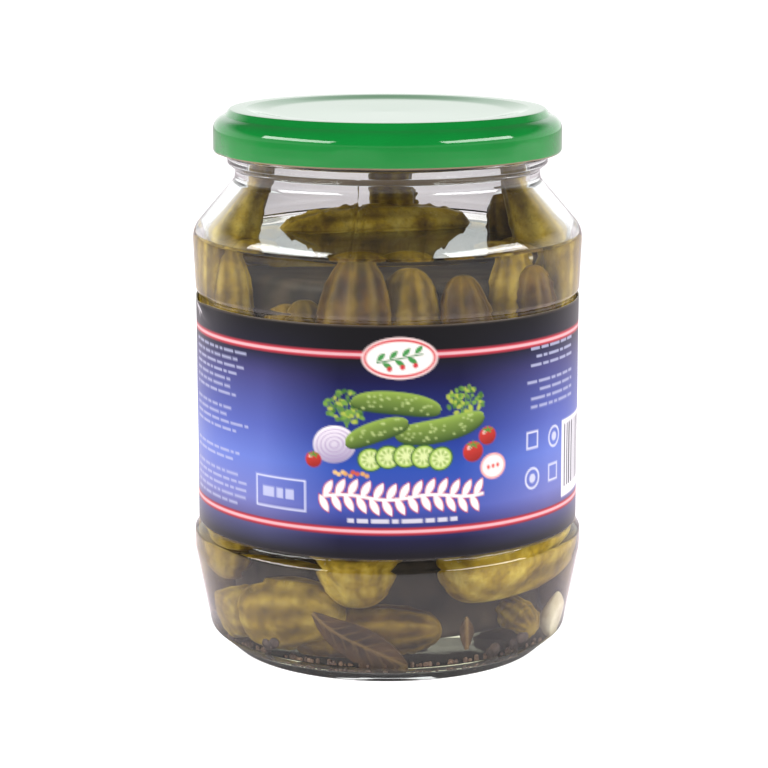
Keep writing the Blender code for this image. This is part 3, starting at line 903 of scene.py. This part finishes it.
def gherkin(place, length, width, bow, seed, wartiness=1.0, sides=64, rings=86):
    """Points, faces, and how warty, how pale and how much on a rib each point is, of one gherkin."""
    draw = np.random.default_rng(seed)
    along = -np.cos(np.linspace(0.0, math.pi, rings + 1))[1:-1, None]
    around = (2 * math.pi * np.arange(sides) / sides)[None, :]
    girth = (1.0 - abs(along) ** BLUNTNESS) ** (1.0 / BLUNTNESS)
    radius = width / 2 * girth * (1.0 - 0.1 * along)
    lumps = np.zeros((rings - 1, sides))
    for _ in range(6):
        swell = draw.uniform(0.3, 1.0)
        waves = draw.integers(1, 5) * around + draw.uniform(2, 6) * along + draw.uniform(0, 6.3)
        lumps += swell * np.sin(waves)
    ribs = draw.integers(8, 11)
    rib_phase = draw.uniform(0, 6.3) + 0.5 * along
    ribbing = np.cos(ribs * around + rib_phase)
    relief = (LUMP_RELIEF * lumps + RIB_RELIEF * ribbing) * girth
    warts = np.zeros_like(relief)
    for _ in range(int(WARTS * wartiness)):
        middle = draw.uniform(-0.9, 0.93)
        where = draw.uniform(0.0, 2 * math.pi)
        size = draw.uniform(*WART_SIZES) / max(1.0, wartiness) ** 0.5
        turned_by = (around - where + math.pi) % (2 * math.pi) - math.pi
        away = np.hypot((along - middle) * length / 2, turned_by * radius)
        warts = np.maximum(warts, draw.uniform(0.6, 1.0) * np.exp(-((away / size) ** 2)))
    relief = relief + WART_RELIEF * warts * girth * wartiness**0.7
    streaks = np.clip(np.cos(ribs * around + rib_phase + 0.8) - 0.25, 0.0, 1.0)
    fade = np.clip((along + draw.uniform(-0.2, 0.5)) * 1.3, 0.0, 1.0)
    pale = np.clip(streaks * fade + np.clip((along - 0.8) * 4.0, 0.0, 0.7), 0.0, 1.0)
    reach = radius + relief
    grid = np.stack(
        [
            reach * np.cos(around) + bow * (1.0 - along * along),
            reach * np.sin(around),
            np.broadcast_to(along * length / 2, reach.shape),
        ],
        axis=-1,
    ).reshape(-1, 3)
    ends = np.array([[0.0, 0.0, -length / 2], [0.0, 0.0, length / 2]])
    points = np.vstack([grid, ends])
    turn = np.array(place)
    points = points @ turn[:3, :3].T + turn[:3, 3]
    rows = rings - 1
    index = np.arange(rows * sides).reshape(rows, sides)
    beside = np.roll(index, -1, axis=1)
    quads = np.stack([index[:-1], beside[:-1], beside[1:], index[1:]], axis=-1).reshape(-1, 4)
    faces = [tuple(quad) for quad in quads.tolist()]
    bottom, top = rows * sides, rows * sides + 1
    for j in range(sides):
        k = (j + 1) % sides
        faces.append((bottom, k, j))
        faces.append((top, (rows - 1) * sides + j, (rows - 1) * sides + k))
    warty = np.append(warts.ravel(), [0.0, 0.0])
    pales = np.append(pale.ravel(), [0.2, 0.6])
    striped = np.append((ribbing * girth).ravel(), [0.0, 0.0])
    return keep_inside(points), faces, warty, pales, striped


def overlaid(tree, base, code, share, strength=1.0):
    """The base colour, turned towards another by a share of 0 to 1 times a strength."""
    much = add(tree, "ShaderNodeMath", {0: share, 1: strength}, operation="MULTIPLY")
    inputs = {0: much.outputs[0], 6: base, 7: colour(code)}
    return add(tree, "ShaderNodeMix", inputs, data_type="RGBA").outputs[2]


def pickled_skin():
    """Pickled cucumber skin: olive and brown in patches, paler in streaks and on the warts' tips, with a
    wet sheen that the brine round it all but hides."""
    material, tree, where = new_material("pickled_cucumber_skin")
    warts, pale, yellow = (
        add(tree, "ShaderNodeAttribute", attribute_name=name).outputs["Fac"]
        for name in ("wart", "pale", "yellow")
    )
    shades = ((0.36, "#180e03"), (0.5, "#3a2204"), (0.64, "#5c400e"))
    olive = mottled(tree, where, SKIN_PATCH, shades, detail=5.0, roughness=0.62)
    shades = ((0.34, "#6a5010"), (0.5, "#a08422"), (0.64, "#bea648"))
    golden = mottled(tree, where, SKIN_PATCH, shades, detail=5.0, roughness=0.62)
    ripened = add(tree, "ShaderNodeMix", {0: yellow, 6: olive, 7: golden}, data_type="RGBA")
    streaked = overlaid(tree, ripened.outputs[2], "#aa8c2e", pale, 0.2)
    warted = overlaid(tree, streaked, "#4a3c14", warts, 0.4)
    inputs = {"Vector": where, "Scale": 1 / SKIN_SPECK, "Detail": 4.0, "Roughness": 0.7}
    specks = add(tree, "ShaderNodeTexNoise", inputs)
    speckled_share = add(tree, "ShaderNodeMapRange", {0: specks.outputs[0], 1: 0.5, 2: 0.75})
    skin = {
        "Base Color": overlaid(tree, warted, "#2b2410", speckled_share.outputs[0], 0.4),
        "Roughness": 0.4,
        "Specular IOR Level": 0.1,
        "Normal": uneven(tree, where, SKIN_SPECK, SKIN_SPECK_DEPTH, 0.2, detail=4.0, roughness=0.7),
    }
    return surfaced(material, tree, skin)


def gherkin_piece(name, gherkins, material):
    """One mesh of several gherkins, each (points, faces, warty, pale, striped, gold)."""
    points, faces, warty, pale, yellow = [], [], [], [], []
    count = 0
    for spots, corners, warts, pales, striped, gold in gherkins:
        points.append(spots)
        faces += [tuple(corner + count for corner in face) for face in corners]
        warty.append(warts)
        pale.append(pales)
        yellow.append(np.clip(gold + RIB_CONTRAST * striped * (0.35 + gold), 0.0, 1.0))
        count += len(spots)
    piece = new_piece(name, np.vstack(points).tolist(), faces, material)
    for attribute_name, values in (("wart", warty), ("pale", pale), ("yellow", yellow)):
        attribute = piece.data.attributes.new(attribute_name, "FLOAT", "POINT")
        attribute.data.foreach_set("value", np.concatenate(values).astype(np.float32))
    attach(piece, "root")
    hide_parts("pickles")


def front_gherkins(places, first_seed):
    """The gherkins of a list of places, each with how yellow it is."""
    made = []
    for i, (azimuth, reach, height, lean, tip, length, width, bow, gold, wartiness) in enumerate(places):
        place = stand(azimuth, reach * MM, height * MM, lean, tip)
        shape = gherkin(place, length * MM, width * MM, bow * MM, first_seed + i, wartiness)
        made.append((*shape, gold))
    return made


def back_gherkins():
    """Two tiers of gherkins stand round the back of the jar."""
    made = []
    draw = random.Random(82)
    for tier in BACK_HEIGHTS:
        for azimuth in BACK_AZIMUTHS:
            azimuth += draw.uniform(-3.0, 3.0)
            height = tier + draw.uniform(7.0, 12.0) * MM
            lean = draw.uniform(-12.0, 12.0)
            place = stand(azimuth, BACK_REACH, height, lean, draw.uniform(0.0, 6.0))
            length = draw.uniform(42.0, 50.0) * MM
            width = draw.uniform(17.0, 20.0) * MM
            seed = 300 + len(made)
            shape = gherkin(place, length, width, BACK_BOW, seed, sides=48, rings=64)
            made.append((*shape, 0.2 + 0.06 * len(made)))
    return made


skin = pickled_skin()
gherkin_piece("gherkins_above_label", front_gherkins(TOP_FRONT, 100), skin)
gherkin_piece("gherkins_below_label", front_gherkins(BOTTOM_FRONT, 200) + back_gherkins(), skin)

# The middle of the heap
# The gherkins behind those at the glass are hidden by them and by the label, so one lumpy core stands for
# them. It is as dark as the gaps between the pickles look.
CORE_RADIUS = 28.5 * MM
CORE = (9.0 * MM, 95.0 * MM)
CORE_EDGE = 3.0 * MM
CORE_LUMP = 1.2 * MM
CORE_SHRINK = 0.9 * MM
CORE_TURNS = 96


def core_lumps(row, radius, height, angle):
    """How far a lump of the core stands out, or a hollow in."""
    swell = math.sin(5 * angle + 90 * height) * math.sin(3 * angle - 140 * height)
    return CORE_LUMP * swell - CORE_SHRINK


def shaded_middle():
    """The same skin in the shade of its neighbours: dark olive brown, dull."""
    material, tree, where = new_material("shaded_cucumber_skin")
    brown = mottled(tree, where, 6.67 * MM, ((0.38, "#1c1815"), (0.62, "#40372e")), detail=4.0)
    return surfaced(material, tree, {"Base Color": brown, "Roughness": 0.6, "Specular IOR Level": 0.2})


core_corners = [
    (0.0, CORE[1], 0.0),
    (CORE_RADIUS, CORE[1], CORE_EDGE),
    (CORE_RADIUS, CORE[0], CORE_EDGE),
    (0.0, CORE[0], 0.0),
]
points, faces = turned(rounded(core_corners), all_round(CORE_TURNS), core_lumps)
core = new_piece("gherkins_in_the_middle", points, faces, shaded_middle())
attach(core, "root")
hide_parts("pickles")

# The bay leaf
# One dried bay leaf, soaked dark brown, bent round against the glass near the base with its point down
# to the right. A raised midrib and side veins stiffen it.
LEAF_LENGTH = 24.0 * MM
LEAF_WIDTH = 9.5 * MM
LEAF_TURN = -27.0
LEAF_AZIMUTH = -9.5
LEAF_HEIGHT = 10.4 * MM
LEAF_HOOK = 4.0 * MM
LEAF_THICKNESS = 0.45 * MM
LEAF_OFF_WALL = 1.6 * MM
LEAF_RIPPLE = 0.5 * MM
LEAF_CURL = 0.7 * MM
LEAF_GRID = (110, 36)
MIDRIB_WIDTH = 0.35 * MM
VEIN_HEIGHT = 0.2 * MM
VEINS = 8


def soaked_leaf():
    """A dried leaf soaked soft: brown with an olive cast, matte, its veins a shade lighter."""
    material, tree, where = new_material("soaked_bay_leaf")
    brown = mottled(tree, where, 4.17 * MM, ((0.35, "#28180a"), (0.65, "#4a3114")), detail=5.0)
    veins = add(tree, "ShaderNodeAttribute", attribute_name="vein").outputs["Fac"]
    veined = overlaid(tree, brown, "#6c542e", veins)
    return surfaced(material, tree, {"Base Color": veined, "Roughness": 0.6, "Specular IOR Level": 0.25})


leaf_material = soaked_leaf()


def leaf_blade(name, length, width, turn, azimuth, middle, hook=0.0):
    """A thin leaf with veins, bent round against the glass, its middle at a height. A hook lifts its first
    end."""
    columns, rows = LEAF_GRID
    points = []
    vein_values = []
    for i in range(columns + 1):
        for j in range(rows + 1):
            along, across = 2 * i / columns - 1, 2 * j / rows - 1
            half_width = width / 2 * (0.08 + 0.92 * max(0.0, math.cos(along * math.pi / 2)) ** 0.8)
            flat = Vector((along * length / 2, across * half_width, 0.0))
            flat.rotate(Matrix.Rotation(math.radians(turn), 3, "Z"))
            ripple = LEAF_RIPPLE * math.sin(4.0 * along) * across
            height = middle + flat.y + hook * max(0.0, -along - 0.35) ** 2
            midrib = math.exp(-((across * half_width / MIDRIB_WIDTH) ** 2))
            phase = (along - 0.35 * abs(across)) * VEINS / 2
            side_vein = math.exp(-(((phase % 1.0 - 0.5) / 0.09) ** 2)) * (1.0 - abs(across)) ** 0.5
            vein = min(1.0, midrib + 0.6 * side_vein)
            vein_values.append(vein)
            off_wall = LEAF_OFF_WALL + LEAF_CURL * (1.0 - along) + ripple - VEIN_HEIGHT * vein
            reach = float(wall_radius(height)) - off_wall
            angle = flat.x / reach + azimuth_angle(azimuth)
            points.append((reach * math.cos(angle), reach * math.sin(angle), height))
    faces = []
    for i in range(columns):
        for j in range(rows):
            corner = i * (rows + 1) + j
            faces.append((corner, corner + rows + 1, corner + rows + 2, corner + 1))
    leaf = new_piece(name, points, faces, leaf_material)
    vein_attribute = leaf.data.attributes.new("vein", "FLOAT", "POINT")
    vein_attribute.data.foreach_set("value", vein_values)
    thickness = leaf.modifiers.new("Thickness", "SOLIDIFY")
    thickness.thickness = LEAF_THICKNESS
    thickness.offset = 0.0
    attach(leaf, "root")
    return leaf


leaf = leaf_blade(
    "bay_leaf_blade", LEAF_LENGTH, LEAF_WIDTH, LEAF_TURN, LEAF_AZIMUTH, LEAF_HEIGHT, LEAF_HOOK
)
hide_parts("bay_leaf")

# The scrap of leaf
# A narrow piece broken off a bay leaf, soaked as dark as the whole one. It stands on end against the
# glass, to the right of the leaf.
SCRAP_LENGTH = 8.5 * MM
SCRAP_WIDTH = 3.4 * MM
SCRAP_TURN = -84.0
SCRAP_AZIMUTH = 26.5
SCRAP_HEIGHT = 12.2 * MM

leaf_blade("bay_leaf_scrap", SCRAP_LENGTH, SCRAP_WIDTH, SCRAP_TURN, SCRAP_AZIMUTH, SCRAP_HEIGHT)

# The garlic
# One peeled clove, cream coloured, standing against the glass at the lower right. Its sides are flattened
# where it grew against its neighbours.
CLOVE = (5.0 * MM, 4.2 * MM, 5.4 * MM)
CLOVE_AZIMUTH = 75.5
CLOVE_REACH = 37.2 * MM
CLOVE_HEIGHT = 10.0 * MM
CLOVE_LEAN = 12.0
CLOVE_TIP = 6.0
CLOVE_SIDES = 64
CLOVE_RINGS = 56


def garlic_flesh():
    """Pickled garlic: smooth, cream with faint yellow lines, and slightly waxy."""
    material, tree, where = new_material("pickled_garlic_flesh")
    cream = mottled(tree, where, 3.85 * MM, ((0.35, "#cbbd98"), (0.65, "#e2d8bc")), detail=3.0)
    return surfaced(material, tree, {"Base Color": cream, "Roughness": 0.4, "Specular IOR Level": 0.3})


clove_outline = []
for ring in range(CLOVE_RINGS + 1):
    tip_angle = math.pi * ring / CLOVE_RINGS
    clove_outline.append((math.sin(tip_angle), math.cos(tip_angle)))
clove_outline[0] = (0.0, 1.0)
clove_outline[-1] = (0.0, -1.0)
points, faces = turned(clove_outline, all_round(CLOVE_SIDES))
points = np.array(points)
along = points[:, 2].copy()
around = np.arctan2(points[:, 1], points[:, 0])
taper = 1.0 - 0.45 * np.maximum(0.0, along) ** 1.5
facets = 1.0 - 0.05 * np.cos(3 * around + 0.6)
points[:, 0] *= CLOVE[0] * taper * facets
points[:, 1] *= CLOVE[1] * taper * facets
points[:, 2] = (along + 0.12 * along**3) * CLOVE[2]
clove_place = np.array(stand(CLOVE_AZIMUTH, CLOVE_REACH, CLOVE_HEIGHT, CLOVE_LEAN, CLOVE_TIP))
points = keep_inside(points @ clove_place[:3, :3].T + clove_place[:3, 3])
clove = new_piece("garlic_clove_flesh", points.tolist(), faces, garlic_flesh())
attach(clove, "root")
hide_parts("garlic_clove")

# The spices
# Peppercorns lie in two little banks against the glass, and mustard seeds, stained brown by the brine,
# have sunk to the base all round. A node tree scatters them over bands of the jar's floor.
MUSTARD = {
    "radius": 0.55 * MM,
    "wrinkle": 0.08,
    "fineness": 2,
    "band": (33.0 * MM, 39.5 * MM, 4.4 * MM, 4.8 * MM),
    "arcs": ((-180.0, 180.0),),
    "per_square_metre": 160000.0,
    "random_seed": 5,
}
PEPPER = {
    "radius": 1.35 * MM,
    "wrinkle": 0.15,
    "fineness": 3,
    "band": (35.5 * MM, 40.3 * MM, 4.9 * MM, 8.6 * MM),
    "arcs": ((-52.0, -36.0), (37.0, 54.0)),
    "per_square_metre": 150000.0,
    "random_seed": 9,
}
SMALLEST = 0.8  # of the radius
LARGEST = 1.15


def seed_coat(name, dark, light, roughness):
    """A seed's coat: matte and finely mottled."""
    material, tree, where = new_material(name)
    shades = mottled(tree, where, 2.0 * MM, ((0.35, dark), (0.65, light)), detail=3.0)
    return surfaced(material, tree, {"Base Color": shades, "Roughness": roughness})


def scatter_tree():
    """Seeds scattered over faces, each turned and sized at random."""
    tree = bpy.data.node_groups.new("scatter_seeds", "GeometryNodeTree")
    sockets = {}
    for name, kind in (
        ("Geometry", "NodeSocketGeometry"),
        ("Seed Shape", "NodeSocketObject"),
        ("Coat", "NodeSocketMaterial"),
        ("Per Square Metre", "NodeSocketFloat"),
        ("Random Seed", "NodeSocketInt"),
        ("Smallest", "NodeSocketFloat"),
        ("Largest", "NodeSocketFloat"),
    ):
        sockets[name] = tree.interface.new_socket(name, in_out="INPUT", socket_type=kind)
    tree.interface.new_socket("Geometry", in_out="OUTPUT", socket_type="NodeSocketGeometry")
    given = add(tree, "NodeGroupInput")
    spread = add(
        tree,
        "GeometryNodeDistributePointsOnFaces",
        {
            "Mesh": given.outputs["Geometry"],
            "Density": given.outputs["Per Square Metre"],
            "Seed": given.outputs["Random Seed"],
        },
    )
    shape = add(tree, "GeometryNodeObjectInfo", {"Object": given.outputs["Seed Shape"]})
    turn = add(
        tree,
        "FunctionNodeRandomValue",
        {1: (2 * math.pi, 2 * math.pi, 2 * math.pi), "Seed": given.outputs["Random Seed"]},
        data_type="FLOAT_VECTOR",
    )
    size = add(
        tree,
        "FunctionNodeRandomValue",
        {2: given.outputs["Smallest"], 3: given.outputs["Largest"], "Seed": given.outputs["Random Seed"]},
    )
    placed = add(
        tree,
        "GeometryNodeInstanceOnPoints",
        {
            "Points": spread.outputs["Points"],
            "Instance": shape.outputs["Geometry"],
            "Rotation": turn.outputs[0],
            "Scale": size.outputs[1],
        },
    )
    real = add(tree, "GeometryNodeRealizeInstances", {"Geometry": placed.outputs[0]})
    coated = add(
        tree, "GeometryNodeSetMaterial", {"Geometry": real.outputs[0], "Material": given.outputs["Coat"]}
    )
    add(tree, "NodeGroupOutput", {"Geometry": coated.outputs[0]})
    return tree, sockets


seed_tree, seed_sockets = scatter_tree()


def scatter(name, coat, radius, wrinkle, fineness, band, arcs, per_square_metre, random_seed):
    """A plain mesh of seeds lying on a band of the jar's floor, within arcs of azimuth. A band has an
    inner and an outer radius, and the height at each."""
    bm = bmesh.new()
    bmesh.ops.create_icosphere(bm, subdivisions=fineness, radius=radius)
    draw = random.Random(random_seed)
    for vert in bm.verts:
        vert.co *= 1.0 - wrinkle * draw.random()
    shape_mesh = bpy.data.meshes.new(name + "_shape")
    bm.to_mesh(shape_mesh)
    bm.free()
    shape_mesh.shade_smooth()
    shape = bpy.data.objects.new(name + "_shape", shape_mesh)
    inner, outer, inner_height, outer_height = band
    points, faces = [], []
    for first, last in arcs:
        turns = np.linspace(azimuth_angle(first), azimuth_angle(last), 25)
        for turn in turns:
            points.append((outer * math.cos(turn), outer * math.sin(turn), outer_height))
            points.append((inner * math.cos(turn), inner * math.sin(turn), inner_height))
        corner = len(points) - 2 * len(turns)
        faces += [(k, k + 2, k + 3, k + 1) for k in range(corner, len(points) - 2, 2)]
    piece = new_piece(name, points, faces, coat)
    scattered = piece.modifiers.new("Scatter", "NODES")
    scattered.node_group = seed_tree
    for socket_name, value in (
        ("Seed Shape", shape),
        ("Coat", coat),
        ("Per Square Metre", per_square_metre),
        ("Random Seed", random_seed),
        ("Smallest", SMALLEST),
        ("Largest", LARGEST),
    ):
        scattered[seed_sockets[socket_name].identifier] = value
    bpy.context.view_layer.update()
    graph = bpy.context.evaluated_depsgraph_get()
    made = bpy.data.meshes.new_from_object(piece.evaluated_get(graph))
    piece.modifiers.clear()
    piece.data = made
    made.shade_smooth()
    bpy.data.objects.remove(shape)
    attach(piece, "root")


mustard_coat = seed_coat("mustard_seed_coat", "#4a3228", "#725844", 0.6)
pepper_coat = seed_coat("peppercorn_coat", "#241812", "#3e2c20", 0.7)
scatter("mustard_seeds", mustard_coat, **MUSTARD)
scatter("peppercorns", pepper_coat, **PEPPER)

# The floor
# A wide white board, painted matt and lit from below like a light table, that the jar just stands on.
# The jar shades it at its foot, and the glow stays clear of the part under the jar.
FLOOR_SIDE = 8.0
FOOT_SHADE = (FOOT_RADIUS - 1.5 * MM, FOOT_RADIUS + 0.8 * MM)  # where its edge fades
UNDER_HEEL_LIGHT = 0.35  # the share of white that the glass mirrors from under itself
CONTACT_SHADE = (44.0 * MM, 56.0 * MM)  # where the mirrored glow comes up
GLOW_FADES = (0.1, 0.4)  # metres from the jar
BACK_STARTS = (0.0, 0.2)  # metres behind the jar's axis
FRONT_GLOW = 0.33
BACK_GLOW = 0.6


def matt_board():
    """Painted board: white and matt, with the faintest mottle, and dark in the shade of the foot. It
    glows, but not under the jar. Glass and lacquer mirror less of the glow, and least of it from the
    front."""
    material, tree, where = new_material("white_painted_board")
    white = mottled(tree, where, 167 * MM, ((0.3, "#c8c8ca"), (0.7, "#cdcdcf")))
    reach = add(tree, "ShaderNodeVectorMath", {0: where}, operation="LENGTH").outputs["Value"]
    camera_ray = add(tree, "ShaderNodeLightPath").outputs["Is Camera Ray"]
    inputs = {0: reach, 1: FOOT_RADIUS, 2: HEEL_RADIUS, 3: UNDER_HEEL_LIGHT}
    under_heel = add(tree, "ShaderNodeMapRange", inputs)
    rim = add(tree, "ShaderNodeMapRange", {0: reach, 1: FOOT_SHADE[0], 2: FOOT_SHADE[1]})
    lit = add(tree, "ShaderNodeMix", {0: camera_ray, 2: under_heel.outputs[0], 3: rim.outputs[0]})
    inputs = {0: lit.outputs[0], 6: colour("#6a6365"), 7: white}
    ground = add(tree, "ShaderNodeMix", inputs, data_type="RGBA")
    contact = add(tree, "ShaderNodeMapRange", {0: reach, 1: CONTACT_SHADE[0], 2: CONTACT_SHADE[1]})
    inputs = {0: reach, 1: GLOW_FADES[0], 2: GLOW_FADES[1], 3: 1.0, 4: FRONT_GLOW}
    fading = add(tree, "ShaderNodeMapRange", inputs)
    depth = add(tree, "ShaderNodeSeparateXYZ", {0: where}).outputs["Y"]
    inputs = {0: depth, 1: BACK_STARTS[0], 2: BACK_STARTS[1], 3: FRONT_GLOW, 4: BACK_GLOW}
    beyond = add(tree, "ShaderNodeMapRange", inputs)
    inputs = {0: fading.outputs[0], 1: beyond.outputs[0]}
    far_off = add(tree, "ShaderNodeMath", inputs, operation="MAXIMUM")
    inputs = {0: contact.outputs[0], 1: far_off.outputs[0]}
    mirrored = add(tree, "ShaderNodeMath", inputs, operation="MULTIPLY")
    glow = add(tree, "ShaderNodeMix", {0: camera_ray, 2: mirrored.outputs[0], 3: rim.outputs[0]})
    # Painted reflection: glass and lacquer mirror the glow tinted pink, while the camera sees it white
    inputs = {0: camera_ray, 6: colour("#f6e6ec"), 7: colour("#ffffff")}
    glow_colour = add(tree, "ShaderNodeMix", inputs, data_type="RGBA")
    board = {
        "Base Color": ground.outputs[2],
        "Roughness": 0.9,
        "Specular IOR Level": 0.1,
        "Emission Color": glow_colour.outputs[2],
        "Emission Strength": glow.outputs[0],
    }
    return surfaced(material, tree, board)


half_side = FLOOR_SIDE / 2
signs = ((-1, -1), (1, -1), (1, 1), (-1, 1))
floor_points = [(x * half_side, y * half_side, 0.0) for x, y in signs]
floor = new_piece("floor", floor_points, [(0, 1, 2, 3)], matt_board())

# The light
# An even white surround, as in a light tent: bright at the height of the jar, a little more so behind it,
# and dim overhead. Two soft boxes at the sides give the streaks on the lid.
TENT_SHADES = ((0.0, "#ffffff"), (0.14, "#fdfdff"), (0.34, "#59595b"))
TENT_TILT = -0.18  # how much lower the dim part starts in front
TENT_BACK = (0.2, 0.9)
TENT_BACK_LIGHT = 1.35
BOX_PLACE = (0.95, -0.46, 0.6)  # metres
BOX_AIM = (0.0, 0.0, 0.1)
BOX_SIZE = (1.1, 0.32)
BOX_WATTS = 12.0

world = bpy.data.worlds.new("light_tent")
bpy.context.scene.world = world
world.use_nodes = True
tree = world.node_tree
tree.nodes.clear()
where = add(tree, "ShaderNodeTexCoord").outputs["Generated"]
direction = add(tree, "ShaderNodeSeparateXYZ", {0: where})
inputs = {0: direction.outputs["Y"], 1: TENT_TILT, 2: direction.outputs["Z"]}
height = add(tree, "ShaderNodeMath", inputs, operation="MULTIPLY_ADD")
stops = [(place, colour(code)) for place, code in TENT_SHADES]
tent = add(tree, "ShaderNodeValToRGB", {"Fac": height.outputs[0]}, stops)
inputs = {0: direction.outputs["Y"], 1: TENT_BACK[0], 2: TENT_BACK[1], 3: 1.0, 4: TENT_BACK_LIGHT}
behind = add(tree, "ShaderNodeMapRange", inputs)
inputs = {"Color": tent.outputs[0], "Strength": behind.outputs[0]}
tent_light = add(tree, "ShaderNodeBackground", inputs)
add(tree, "ShaderNodeOutputWorld", {"Surface": tent_light.outputs[0]})

for name, side in (("soft_box_left", -1), ("soft_box_right", 1)):
    lamp = bpy.data.lights.new(name, "AREA")
    lamp.shape = "RECTANGLE"
    lamp.size, lamp.size_y = BOX_SIZE
    lamp.energy = BOX_WATTS
    holder = bpy.data.objects.new(name, lamp)
    place = Vector((side * BOX_PLACE[0], BOX_PLACE[1], BOX_PLACE[2]))
    holder.location = place
    holder.rotation_euler = (Vector(BOX_AIM) - place).to_track_quat("-Z", "Y").to_euler()
    bpy.context.scene.collection.objects.link(holder)

# The camera
# A camera with a long lens, placed where the photograph was taken from.
# It is a little above the jar and looks slightly down at it.
CAMERA_PLACE = (-0.85 * MM, -635.8 * MM, 193.67 * MM)
CAMERA_DOWN = 11.479  # degrees below level
CAMERA_LENS = 123.0  # the focal length and the width of the sensor are in mm
CAMERA_SENSOR = 36.0

camera = bpy.data.objects.new("camera", bpy.data.cameras.new("camera"))
camera.data.lens = CAMERA_LENS
camera.data.sensor_width = CAMERA_SENSOR
camera.location = CAMERA_PLACE
camera.rotation_euler = (math.radians(90.0 - CAMERA_DOWN), 0.0, 0.0)
bpy.context.scene.collection.objects.link(camera)
bpy.context.scene.camera = camera
bpy.context.scene.view_settings.view_transform = "Standard"
